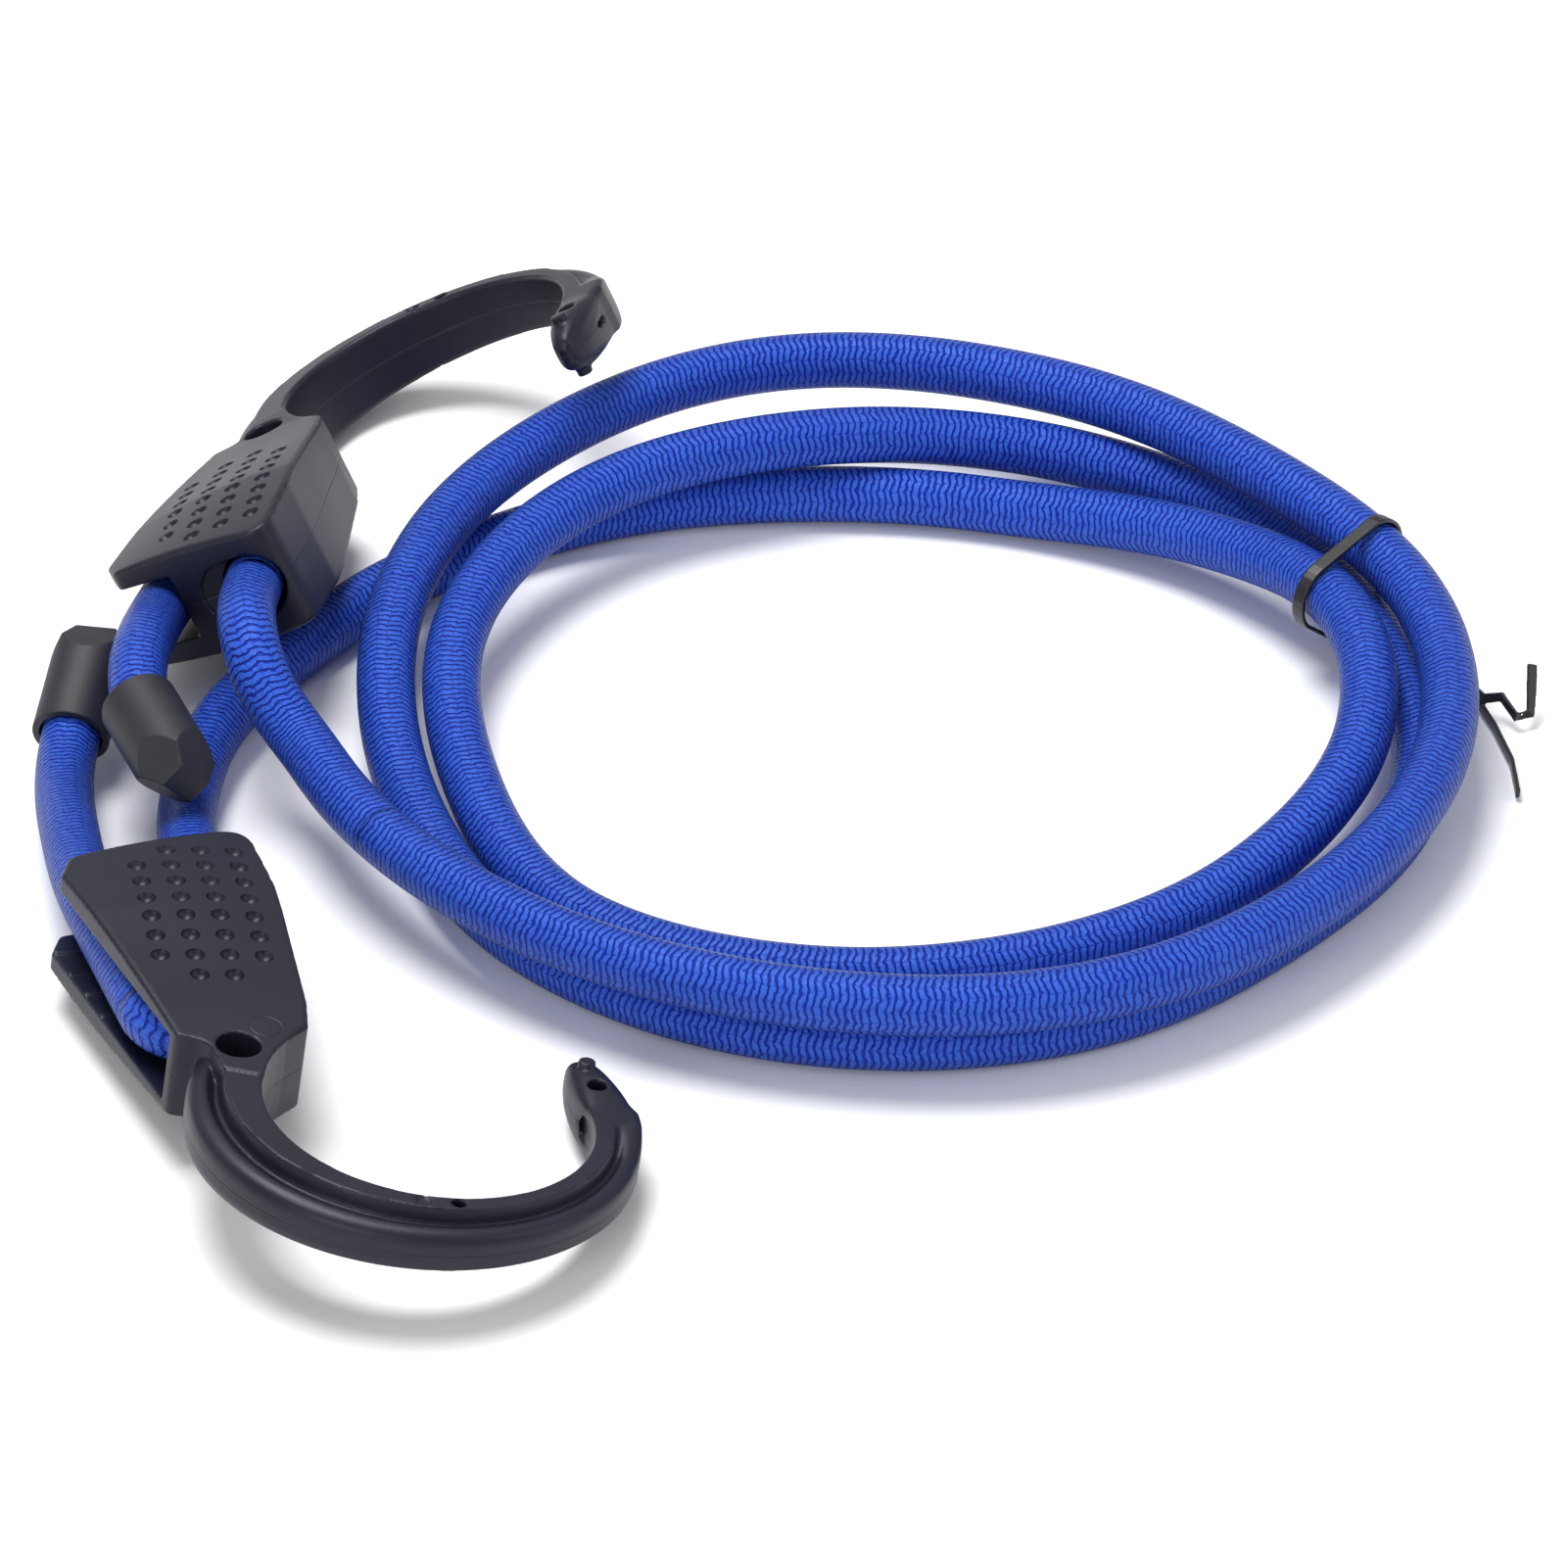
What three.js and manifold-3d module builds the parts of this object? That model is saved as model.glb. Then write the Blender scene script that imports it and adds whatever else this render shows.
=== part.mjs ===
// Travel clothesline: an elastic braided cord with an adjustable clamp hook at each end, lying coiled on a table.
// Millimetres, +Z up. The origin is under the middle of the two hooks, on the table.
import * as THREE from "three";
import { mergeVertices } from "three/addons/utils/BufferGeometryUtils.js";
import Module from "manifold-3d";

const wasm = await Module();
wasm.setup();

// Cord, and the gap that touching pieces keep
const cordDiameter = 9.6;
const tableGap = 0.1;
const pieceGap = 0.3;

// Coil: stations every 30 degrees, from the far hook's strand round to the near hook's
const coilCentre = [22, 10];
const coilStart = 195;
const stationStep = 30;
const coilReach = [
  100.5, 95, 92.8, 92.2, 87.9, 86.9, 85.2, 82.2, 89.4, 99.2, 94.5, 88.9,
  86.1, 88.5, 89.2, 87.3, 82, 83, 79.6, 82.6, 81, 74, 77, 77.6,
  75.3, 77.7, 73.5, 69.2, 69.2, 73, 73, 70, 68.4, 73.4, 86.2,
];
const coilHeight = [
  15.4, 14.8, 14.6, 14, 13.6, 14.6, 16.1, 17.5, 17.1, 15.4, 14.9, 13.4,
  7.5, 4.9, 4.9, 4.9, 4.9, 5.2, 7.2, 6.2, 9.4, 15.6, 15.2, 12.4,
  7.5, 4.9, 4.9, 4.9, 6.5, 12, 14.8, 9.2, 4.9, 4.9, 4.9,
];

// Cord's free stretches, chosen by hand from one end to the other
const farLegRoute = [
  [-86.7, 3.5, 27.4],
  [-85.2, -2, 24.2],
  [-82.2, -6.6, 19.8],
];
const nearLegRoute = [
  [-56, 60, 4.9],
  [-66.1, 51.6, 4.9],
  [-73.1, 43.2, 4.9],
  [-78.8, 35.1, 4.9],
  [-83.8, 27.2, 4.9],
  [-88.3, 19.5, 4.9],
  [-91.8, 12, 4.9],
  [-94.3, 3.8, 4.9],
  [-95.7, -6.4, 4.9],
  [-96.2, -15, 5.5],
  [-95.9, -23, 6.7],
];
const nearTailRoute = [
  [-112, -40.5, 11.4],
  [-114, -29, 10],
  [-115.8, -16, 7.6],
  [-116.5, -5, 7],
];
const farTailRoute = [
  [-103.7, 13, 20.3],
  [-104.8, 1.8, 21.5],
];
const nearCapSeat = [-115.9, 1.2, 8.5];
const nearCapHeading = [0.16, 0.93, 0.3];
const farCapSeat = [-103.9, -7, 20];
const farCapHeading = [0.4, -0.91, -0.1];
const leadLength = 6;

// Where each hook lies: its middle in plan, the heading of its hook end and of its second face
const nearHookPlan = [-91.5, -68.7];
const nearHookHeading = [0.205, -0.977, 0.059];
const nearHookFace = [-0.142, -0.089, -0.986];
const farHookPlan = [-88.2, 44.5];
const farHookHeading = [0.087, 0.976, -0.2];
const farHookFace = [-0.422, 0.218, 0.88];

// Clamp body on its face: u runs from the open slot to the shoulder, v from the mouth to the hook
const slotSide = 20.7;
const shoulderSide = 12;
const mouthReach = 28.5;
const waistReach = 34;
const crownHalf = 10.7;
const mouthHalf = 9.2;
const waistHalf = 7.2;
const crownDrop = 2.2;
const mouthDropShare = 0.5;
const crownSteps = [12, 22];
const clampCornerShares = [
  [-1, -0.42],
  [-0.9, -0.61],
  [0.91, -0.96],
  [1.05, -0.3],
  [1.05, 0.7],
  [0.99, 0.89],
];
const clampCornerRounds = [2.2, 2, 4.5, 20, 9, 1.6];
const throatBearings = [-40, -26, -14];
const backCornerShares = [
  [-0.21, 1.02],
  [-0.44, 0.98],
];
const backCornerRounds = [5, 1.6];

// Cord's way through the clamp: in at the mouth, round the bend and back out of the open slot
const channelClearance = 0.5;
const mouthOffset = 4.1;
const mouthFlare = 0.6;
const mouthFlareDepth = 7;
const mouthWiden = 4;
const bendRadius = 7;
const bendReach = 14;
const bendSteps = 8;
const tailLean = 7.5;
const tailSplitReach = -9;
const tailExitReach = 20;
const slotEndReach = 31;
const slotEndRound = 5;
const waistHoleRadius = 3.5;
const waistHolePlace = [0.1, 35.9];

// Teeth on both jaws of the slot
const toothCount = 4;
const toothPitch = 6.2;
const toothFirst = -12;
const toothHeight = 0.6;
const toothRun = 2.4;
const toothInset = 0.4;

// Finger grips pressed into both faces, in four columns
const dimpleRadius = 1.7;
const dimpleDepth = 0.9;
const dimpleSides = 8;
const dimpleColumnPitch = 5.46;
const dimpleRowPitch = 5.16;
const dimpleMiddle = -0.6;
const dimpleRows = [
  [2, 7],
  [1, 8],
  [1, 8],
  [1, 7],
];

// J hook: the bowl lies between two circles, the outer one wider and shifted, then the tip runs back up
const bowlRadius = 25.5;
const bowlCentre = [27.5, 50.5];
const bowlWidth = 9.4;
const bowlOuterShift = [-1.8, -1.3];
const bowlStart = -34;
const bowlEnd = 180;
const bowlSteps = 26;
const tipRise = 18.3;
const tipLean = [1.6, 4];
const tipSteps = 7;
const hookHalf = 7.1;
const tipHalf = 4.4;
const ribsEndBearing = 160;
const ribsGoneBearing = 174;
const tipRoundShare = 0.72;
const tipEndShare = 0.5;
const flangeShares = [0.56, 0.43];
const grooveShares = [0.05, 0.1];
const beadShares = [0.18, 0.4];
const grooveHeightShare = 0.5;
const beadHeightShare = 0.62;
const rimHeightShare = 0.3;
const edgeShare = 0.04;
const edgeHeightShare = 0.88;

// Pins that held the core while the J was moulded round it, and the small pegs at the tip
const pinHoleRadius = 1.1;
const bowlPinBearing = 90;
const bowlPinShare = 0.22;
const tipPinShares = [0.42, 0.45];
const pegRadius = 1.2;
const pegLength = 1.6;
const pegShares = [0.72, 0.48];
const roundSides = 12;
const coreWidth = 1.6;
const coreHeight = 5;
const coreShare = 0.25;
const coreStations = [4, 30];

// End caps
const capDiameter = 12.8;
const capLength = 21.5;
const capRolls = { near: 0, far: -47 };
const capSocketDepth = 12;
const capFlankLength = 7;
const capEndSize = [6.8, 4.4];
const capFlankSize = [12.4, 12.4];
const capSocketClearance = 0.35;
const capSides = 24;

// Twist tie round the coil's three right-hand strands
const tieBearing = 24.5;
const tieTurn = 21;
const tieWidth = 2.4;
const tieThickness = 0.7;
const tieSlack = 0.8;
const tieSides = 28;
const tieTailWidth = 1.7;
const tieLongTail = [
  [98.7, 45.2, 4.2],
  [101, 44.2, 4.4],
  [103.4, 41.6, 4.4],
  [107.8, 35.8, 3.4],
  [111.8, 27.5, 3],
  [115.4, 20.4, 3.2],
  [118.2, 19.4, 4.2],
  [120.4, 15.8, 2.6],
  [122.8, 16.8, 2.6],
  [123.1, 20, 5.4],
  [123.3, 23.3, 8],
];
const tieShortTail = [
  [98.5, 45, 3.2],
  [100.8, 43.8, 2.2],
  [104, 41, 1.8],
  [109.4, 34, 1.5],
  [113.4, 25.8, 1.5],
  [116.8, 14.6, 1.5],
  [119, 4.3, 1.5],
  [119.4, -5.1, 1.5],
];

const overrun = 1;
const cordRadius = cordDiameter / 2;
const restHeight = cordRadius + tableGap;
const coilSides = 6;
const cordSides = 8;
const channelSides = 16;
const cornerSteps = 4;
const legSteps = 14;
const channelRadius = cordRadius + channelClearance;
const slotHalf = cordRadius + pieceGap + toothHeight;
const socketRadius = cordRadius + capSocketClearance;
const degrees = Math.PI / 180;

const cordMaterial = finish("braided_cord", "#2445c4", 0.75, 0);
const plasticMaterial = finish("black_plastic", "#42424a", 0.55, 0);
const rubberMaterial = finish("cap_rubber", "#2e2f31", 0.8, 0);
const steelMaterial = finish("core_steel", "#b8bbc0", 0.4, 1);
const tieMaterial = finish("tie_plastic", "#1e1f24", 0.6, 0);

function finish(name, color, roughness, metalness) {
  return new THREE.MeshStandardMaterial({ name, color, roughness, metalness });
}

// Solids and meshes
function toSolid(geometry) {
  const bare = geometry.clone();
  bare.deleteAttribute("normal");
  bare.deleteAttribute("uv");
  const merged = mergeVertices(bare);
  const vertProperties = Float32Array.from(merged.attributes.position.array);
  const triVerts = Uint32Array.from(merged.index.array);
  return new wasm.Manifold(new wasm.Mesh({ numProp: 3, vertProperties, triVerts }));
}

function toGeometry(solid) {
  const mesh = solid.getMesh();
  const geometry = new THREE.BufferGeometry();
  geometry.setAttribute("position", new THREE.BufferAttribute(Float32Array.from(mesh.vertProperties), 3));
  geometry.setIndex(new THREE.BufferAttribute(Uint32Array.from(mesh.triVerts), 1));
  return geometry;
}

function namedMesh(name, geometry, material) {
  const mesh = new THREE.Mesh(geometry, material);
  mesh.name = name;
  return mesh;
}

// A closed body through rings that follow one section, filled at both ends
function loft(rings, section) {
  const count = section.length;
  const index = [];
  for (let i = 0; i + 1 < rings.length; i++) {
    for (let k = 0; k < count; k++) {
      const a = i * count + k;
      const b = i * count + ((k + 1) % count);
      index.push(a, b, b + count, a, b + count, a + count);
    }
  }
  const last = (rings.length - 1) * count;
  const turn = Math.sign(THREE.ShapeUtils.area(section));
  for (const face of THREE.ShapeUtils.triangulateShape(section, [])) {
    const faceTurn = Math.sign(THREE.ShapeUtils.area(face.map((k) => section[k])));
    const [a, b, c] = faceTurn === turn ? face : [...face].reverse();
    index.push(a, c, b, last + a, last + b, last + c);
  }
  const points = rings.flat();
  const geometry = new THREE.BufferGeometry().setFromPoints(points);
  geometry.setIndex(facingOut(points, index));
  return geometry;
}

// Triangle order turned round where the body would face inward
function facingOut(points, index) {
  let volume = 0;
  for (let i = 0; i < index.length; i += 3) {
    const [a, b, c] = [0, 1, 2].map((k) => points[index[i + k]]);
    volume += a.dot(new THREE.Vector3().crossVectors(b, c));
  }
  return volume > 0 ? index : [...index].reverse();
}

function roundSection(sides) {
  return Array.from({ length: sides }, (_, k) => {
    const angle = ((k + 0.5) / sides) * 2 * Math.PI;
    return new THREE.Vector2(Math.cos(angle), Math.sin(angle));
  });
}

// A body that carries its section along a polyline without twisting, x level and y upward
function carried(route, section, width, height) {
  const headings = route.slice(1).map((p, i) => p.clone().sub(route[i]).normalize());
  const up = new THREE.Vector3(0, 0, 1);
  let side = new THREE.Vector3().crossVectors(headings[0], up).normalize();
  const rings = route.map((p, i) => {
    const before = headings[Math.max(0, i - 1)];
    const after = headings[Math.min(headings.length - 1, i)];
    const along = before.clone().add(after).normalize();
    side = side.clone().addScaledVector(along, -side.dot(along)).normalize();
    const top = new THREE.Vector3().crossVectors(side, along);
    return section.map((q) => p.clone().addScaledVector(side, q.x * width).addScaledVector(top, q.y * height));
  });
  return loft(rings, section);
}

const tube = (route, radius, sides) => carried(route, roundSection(sides), radius, radius);

// A polyline cut back at both ends, along its end stretches
function cutBack(route, start, end) {
  const made = route.map((p) => p.clone());
  const n = made.length;
  made[0].addScaledVector(route[1].clone().sub(route[0]).normalize(), start);
  made[n - 1].addScaledVector(route[n - 2].clone().sub(route[n - 1]).normalize(), end);
  return made;
}

function roundedShape(corners, rounds) {
  const shape = new THREE.Shape();
  corners.forEach((corner, i) => {
    const back = corners[(i + corners.length - 1) % corners.length].clone().sub(corner);
    const ahead = corners[(i + 1) % corners.length].clone().sub(corner);
    const half = back.angleTo(ahead) / 2;
    const cut = Math.min(rounds[i] / Math.tan(half), back.length() / 2, ahead.length() / 2);
    const enter = corner.clone().addScaledVector(back.normalize(), cut);
    const leave = corner.clone().addScaledVector(ahead.normalize(), cut);
    if (i === 0) shape.moveTo(enter.x, enter.y);
    else shape.lineTo(enter.x, enter.y);
    if (cut > 0) shape.quadraticCurveTo(corner.x, corner.y, leave.x, leave.y);
  });
  shape.closePath();
  return shape;
}

function slab(shape, half) {
  const geometry = new THREE.ExtrudeGeometry(shape, { depth: 2 * half, bevelEnabled: false, curveSegments: cornerSteps });
  return toSolid(geometry.translate(0, 0, -half));
}

function pin(place, radius, half) {
  const cylinder = new THREE.CylinderGeometry(radius, radius, 2 * half, roundSides);
  return toSolid(cylinder.rotateX(Math.PI / 2).translate(place[0], place[1], 0));
}

// Bowl of the J: its inner and outer edge at a bearing, 0 at the waist and 90 at the bottom
function bowlEdges(bearing) {
  const turn = new THREE.Vector2(-Math.cos(bearing * degrees), Math.sin(bearing * degrees));
  const inner = new THREE.Vector2(...bowlCentre).addScaledVector(turn, bowlRadius);
  return [inner, inner.clone().addScaledVector(turn, bowlWidth).add(new THREE.Vector2(...bowlOuterShift))];
}

// Tip of the J: its inner and outer edge at a share of the way to its end
function tipEdges(share) {
  const [inner, outer] = bowlEdges(bowlEnd);
  return [
    inner.sub(new THREE.Vector2(tipLean[0], tipRise).multiplyScalar(share)),
    outer.sub(new THREE.Vector2(tipLean[1], tipRise).multiplyScalar(share)),
  ];
}

// A place on the tip: share of the way to its end, then share across it
function tipPlace([along, across]) {
  const [inner, outer] = tipEdges(along);
  return inner.lerp(outer, across).toArray();
}

// Stations along the J, from inside the clamp to the tip
function hookStations() {
  const stations = [];
  for (let i = 0; i <= bowlSteps; i++) {
    const share = i / bowlSteps;
    const bearing = THREE.MathUtils.lerp(bowlStart, bowlEnd, share);
    const [inner, outer] = bowlEdges(bearing);
    const half = THREE.MathUtils.lerp(hookHalf, tipHalf, share);
    const flange = THREE.MathUtils.lerp(flangeShares[0], flangeShares[1], Math.min(1, 2 * share));
    const ribbed = THREE.MathUtils.clamp((ribsGoneBearing - bearing) / (ribsGoneBearing - ribsEndBearing), 0, 1);
    stations.push({ inner, outer, half, flange, size: 1, ribbed });
  }
  for (let i = 1; i <= tipSteps; i++) {
    const share = i / tipSteps;
    const [inner, outer] = tipEdges(share);
    const rounding = Math.max(0, (share - tipRoundShare) / (1 - tipRoundShare));
    stations.push({
      inner,
      outer,
      half: tipHalf,
      flange: flangeShares[1],
      size: 1 - (1 - tipEndShare) * rounding ** 2,
      ribbed: 0,
    });
  }
  return stations;
}

// Section of the J: a thick flange inside, a groove, and a round bead outside
function hookSection({ flange, ribbed }) {
  const blend = (plain, shaped) => THREE.MathUtils.lerp(plain, shaped, ribbed);
  const half = [
    [0, edgeHeightShare],
    [edgeShare, 1],
    [flange, 1],
    [flange + grooveShares[0], blend(1, grooveHeightShare)],
    [flange + grooveShares[1], blend(1, grooveHeightShare)],
    [flange + beadShares[0], blend(1, beadHeightShare)],
    [flange + beadShares[1], blend(edgeHeightShare, beadHeightShare)],
    [1, blend(edgeHeightShare, rimHeightShare)],
  ];
  const below = half.map(([f, h]) => new THREE.Vector2(f, -h));
  const above = half.map(([f, h]) => new THREE.Vector2(f, h)).reverse();
  return [...below, ...above];
}

function hookSweep(stations) {
  const rings = stations.map((s) => {
    const middle = s.inner.clone().lerp(s.outer, 0.5);
    return hookSection(s).map((q) => {
      const flat = s.inner.clone().lerp(s.outer, q.x).sub(middle).multiplyScalar(s.size).add(middle);
      return new THREE.Vector3(flat.x, flat.y, q.y * s.half * s.size);
    });
  });
  return toSolid(loft(rings, hookSection(stations[0])));
}

// Steel strip along the J, or the room round it when it is grown by the gap
function coreStrip(stations, gap) {
  const half = coreHeight / 2 + gap;
  const width = coreWidth / 2 + gap;
  const section = [[-1, -1], [1, -1], [1, 1], [-1, 1]].map((q) => new THREE.Vector2(...q));
  const line = stations.slice(...coreStations).map((s) => s.inner.clone().lerp(s.outer, coreShare));
  const ends = cutBack(line, -gap, -gap);
  const rings = ends.map((p, i) => {
    const along = line[Math.min(i + 1, line.length - 1)].clone().sub(line[Math.max(i - 1, 0)]).normalize();
    return section.map((q) => new THREE.Vector3(p.x + along.y * q.x * width, p.y - along.x * q.x * width, q.y * half));
  });
  return loft(rings, section);
}

// Half the clamp's thickness at a point of its face
function faceHalf(u, v) {
  const towardMouth = THREE.MathUtils.clamp(-v / mouthReach, 0, 1);
  const towardWaist = THREE.MathUtils.clamp(v / waistReach, 0, 1);
  const waistDrop = (crownHalf - waistHalf) * towardWaist;
  const endShare = (1 - towardWaist) * THREE.MathUtils.lerp(1, mouthDropShare, towardMouth);
  const sideDrop = crownDrop * (u / slotSide) ** 2 * endShare;
  return crownHalf - (crownHalf - mouthHalf) * towardMouth ** 2 - waistDrop - sideDrop;
}

const clampPoint = ([u, v]) =>
  new THREE.Vector2(u * (u < 0 ? slotSide : shoulderSide), v * (v < 0 ? mouthReach : waistReach));

function clampBody() {
  const throat = throatBearings.map((bearing) => bowlEdges(bearing)[0]);
  const [inner, outer] = bowlEdges(throatBearings[2]);
  const corners = [
    ...clampCornerShares.map(clampPoint),
    ...throat,
    inner.clone().lerp(outer, flangeShares[0]),
    ...backCornerShares.map(clampPoint),
  ];
  const rounds = [...clampCornerRounds, ...throatBearings.map(() => 0), 0, ...backCornerRounds];
  const outline = slab(roundedShape(corners, rounds), crownHalf + overrun);
  const { min, max } = outline.boundingBox();
  const crown = new THREE.BoxGeometry(1, 1, 1, ...crownSteps);
  crown.scale(max[0] - min[0] + 2 * overrun, max[1] - min[1] + 2 * overrun, 1);
  crown.translate((max[0] + min[0]) / 2, (max[1] + min[1]) / 2, 0);
  const at = crown.attributes.position;
  for (let i = 0; i < at.count; i++) at.setZ(i, Math.sign(at.getZ(i)) * faceHalf(at.getX(i), at.getY(i)));
  return outline.intersect(toSolid(crown));
}

// The cord's line in the clamp
const tailHeading = new THREE.Vector3(-Math.sin(tailLean * degrees), -Math.cos(tailLean * degrees), 0);
const bendLine = Array.from({ length: bendSteps + 1 }, (_, i) => {
  const angle = (i / bendSteps) * (180 - tailLean) * degrees;
  const bendCentre = new THREE.Vector3(mouthOffset - bendRadius, bendReach, 0);
  return bendCentre.add(new THREE.Vector3(Math.cos(angle), Math.sin(angle), 0).multiplyScalar(bendRadius));
});
const bendEnd = bendLine[bendSteps];
const tailPoint = (reach) =>
  bendEnd.clone().addScaledVector(tailHeading, (bendEnd.y + reach) / Math.cos(tailLean * degrees));
const mouthPoint = (beyond) => new THREE.Vector3(mouthOffset, -mouthReach - beyond, 0);

function clampHollow() {
  const far = -slotSide - overrun;
  const channel = toSolid(tube([mouthPoint(overrun), ...bendLine, tailPoint(mouthReach)], channelRadius, channelSides));
  const inward = new THREE.Vector3(-tailHeading.y, tailHeading.x, 0).multiplyScalar(channelRadius);
  const innerTop = bendEnd.clone().add(inward);
  const innerOut = tailPoint(2 * mouthReach).add(inward);
  const corners = [
    new THREE.Vector2(far, innerOut.y),
    new THREE.Vector2(innerOut.x, innerOut.y),
    new THREE.Vector2(innerTop.x, innerTop.y),
    new THREE.Vector2(innerTop.x, slotEndReach),
    new THREE.Vector2(far, slotEndReach),
  ];
  const slot = slab(roundedShape(corners, [0, 0, 0, slotEndRound, 0]), slotHalf);
  const flare = new THREE.CylinderGeometry(channelRadius, channelRadius + mouthFlare, mouthFlareDepth, channelSides);
  flare.translate(mouthOffset, mouthFlareDepth / 2 - mouthReach, 0);
  const widened = toSolid(flare.clone().translate(-mouthWiden, 0, 0));
  const mouth = wasm.Manifold.hull([toSolid(flare), widened]);
  return channel.add(slot).add(mouth);
}

// Ridges across both jaws, from the slot's edge to just short of the cord
function jawTeeth() {
  const low = clampPoint(clampCornerShares[0]);
  const high = clampPoint(backCornerShares[1]);
  const section = [[-1, 0], [1, 0], [0, 1]].map((q) => new THREE.Vector2(...q));
  const teeth = [];
  for (let i = 0; i < toothCount; i++) {
    const v = toothFirst + i * toothPitch;
    const edge = low.clone().lerp(high, (v - low.y) / (high.y - low.y)).x + toothInset;
    const stop = tailPoint(-v).x - cordRadius / 2;
    for (const side of [-1, 1]) {
      const rings = [edge, stop].map((u) => section.map((q) => new THREE.Vector3(
        u, v + (q.x * toothRun) / 2, side * (slotHalf + overrun - q.y * (overrun + toothHeight)))));
      teeth.push(toSolid(loft(rings, section)));
    }
  }
  return teeth;
}

function dimples() {
  const pits = [];
  const sink = dimpleDepth + overrun;
  dimpleRows.forEach(([first, last], column) => {
    const u = dimpleMiddle + (column - (dimpleRows.length - 1) / 2) * dimpleColumnPitch;
    for (let row = first; row <= last; row++) {
      const v = (row - dimpleRows.length - 0.5) * dimpleRowPitch;
      for (const side of [-1, 1]) {
        const cone = new THREE.ConeGeometry((dimpleRadius * sink) / dimpleDepth, sink, dimpleSides);
        cone.rotateX((-side * Math.PI) / 2).translate(u, v, side * (faceHalf(u, v) - dimpleDepth + sink / 2));
        pits.push(toSolid(cone));
      }
    }
  });
  return pits;
}

const allJoined = (solids) => solids.reduce((sum, solid) => sum.add(solid));

function hookGeometry(stations) {
  const [inner, outer] = bowlEdges(bowlPinBearing);
  const bowlPin = inner.clone().lerp(outer, bowlPinShare);
  const body = clampBody().add(hookSweep(stations)).add(pin(tipPlace(pegShares), pegRadius, tipHalf + pegLength));
  const cuts = [
    clampHollow(),
    ...dimples(),
    pin(waistHolePlace, waistHoleRadius, crownHalf),
    pin(bowlPin.toArray(), pinHoleRadius, crownHalf),
    pin(tipPlace(tipPinShares), pinHoleRadius, crownHalf),
    toSolid(coreStrip(stations, pieceGap)),
  ];
  return toGeometry(body.subtract(allJoined(cuts)).add(allJoined(jawTeeth())));
}

// A hook's place: turned to its headings and set down on the table by its lowest point
function hookPlace(geometry, plan, heading, face) {
  const v = new THREE.Vector3(...heading).normalize();
  const u = new THREE.Vector3().crossVectors(v, new THREE.Vector3(...face)).normalize();
  const w = new THREE.Vector3().crossVectors(u, v);
  const place = new THREE.Matrix4().makeBasis(u, v, w);
  const lowest = new THREE.Box3().setFromObject(new THREE.Mesh(geometry.clone().applyMatrix4(place))).min.z;
  return place.setPosition(...plan, -lowest);
}

const stations = hookStations();
const hookShape = hookGeometry(stations);
const coreShape = coreStrip(stations, 0);
const hooks = [
  { name: "near", plan: nearHookPlan, heading: nearHookHeading, face: nearHookFace },
  { name: "far", plan: farHookPlan, heading: farHookHeading, face: farHookFace },
].map((hook) => ({ ...hook, place: hookPlace(hookShape, hook.plan, hook.heading, hook.face) }));
const [nearHook, farHook] = hooks;
const onHook = (hook, p) => p.clone().applyMatrix4(hook.place);

// Coil's line at a count of stations from its start
function coilPoint(count) {
  const angle = (coilStart + stationStep * count) * degrees;
  const reach = alongStations(coilReach, count);
  const height = Math.max(restHeight, alongStations(coilHeight, count));
  return new THREE.Vector3(coilCentre[0] + reach * Math.cos(angle), coilCentre[1] + reach * Math.sin(angle), height);
}

// Smooth value between stations
function alongStations(values, count) {
  const i = Math.min(Math.floor(count), values.length - 2);
  const [b, c] = [values[i], values[i + 1]];
  const a = i > 0 ? values[i - 1] : 2 * b - c;
  const d = i + 2 < values.length ? values[i + 2] : 2 * c - b;
  return new THREE.SplineCurve([a, b, c, d].map((value) => new THREE.Vector2(value, 0)))
    .getPoint((1 + count - i) / 3).x;
}

const coilTurnSteps = 2 * (coilReach.length - 1);
const coilLine = Array.from({ length: coilTurnSteps + 1 }, (_, i) => coilPoint(i / 2));

// Least gap between the coil's turns, measured on points along its line
function leastGap(line) {
  const points = [];
  for (let i = 0; i + 1 < line.length; i++) {
    for (let k = 0; k < cordSides; k++) points.push(line[i].clone().lerp(line[i + 1], k / cordSides));
  }
  const apart = 6 * cordSides;
  let least = Infinity;
  for (let i = 0; i < points.length; i++) {
    for (let k = i + apart; k < points.length; k++) least = Math.min(least, points[i].distanceTo(points[k]));
  }
  return least - cordDiameter;
}
console.log("least gap between the coil's turns, mm:", leastGap(coilLine).toFixed(2));

// Straight lead-ins keep each end square to what it meets
const mouthEnd = (hook) => [onHook(hook, mouthPoint(leadLength)), onHook(hook, mouthPoint(0))];
const coilLead = (end, next) => end.clone().addScaledVector(end.clone().sub(next).normalize(), leadLength);
const listed = (route) => route.map((p) => new THREE.Vector3(...p));
const smooth = (points) => new THREE.CatmullRomCurve3(points).getPoints(legSteps);

function freeLeg(from, through, to) {
  const line = smooth([from[1], ...through, to[0]]);
  return cutBack([from[0], ...line, to[1]], pieceGap / 2, pieceGap / 2);
}

const coilFirst = coilLine[0];
const coilLast = coilLine[coilTurnSteps];
const coilFirstLead = [coilLead(coilFirst, coilLine[1]), coilFirst];
const coilLastLead = [coilLast, coilLead(coilLast, coilLine[coilTurnSteps - 1])];
const farLegLine = freeLeg(mouthEnd(farHook).reverse(), listed(farLegRoute), coilFirstLead);
const nearLegLine = freeLeg(coilLastLead, listed(nearLegRoute), mouthEnd(nearHook));

// Cord inside a clamp, from the mouth round the bend and a little way into the slot
const tailSplit = tailPoint(tailSplitReach);
const loopLine = cutBack([mouthPoint(0), ...bendLine, tailSplit], pieceGap / 2, pieceGap / 2);
const loopShape = (hook) => tube(loopLine, cordRadius, cordSides).applyMatrix4(hook.place);

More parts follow.
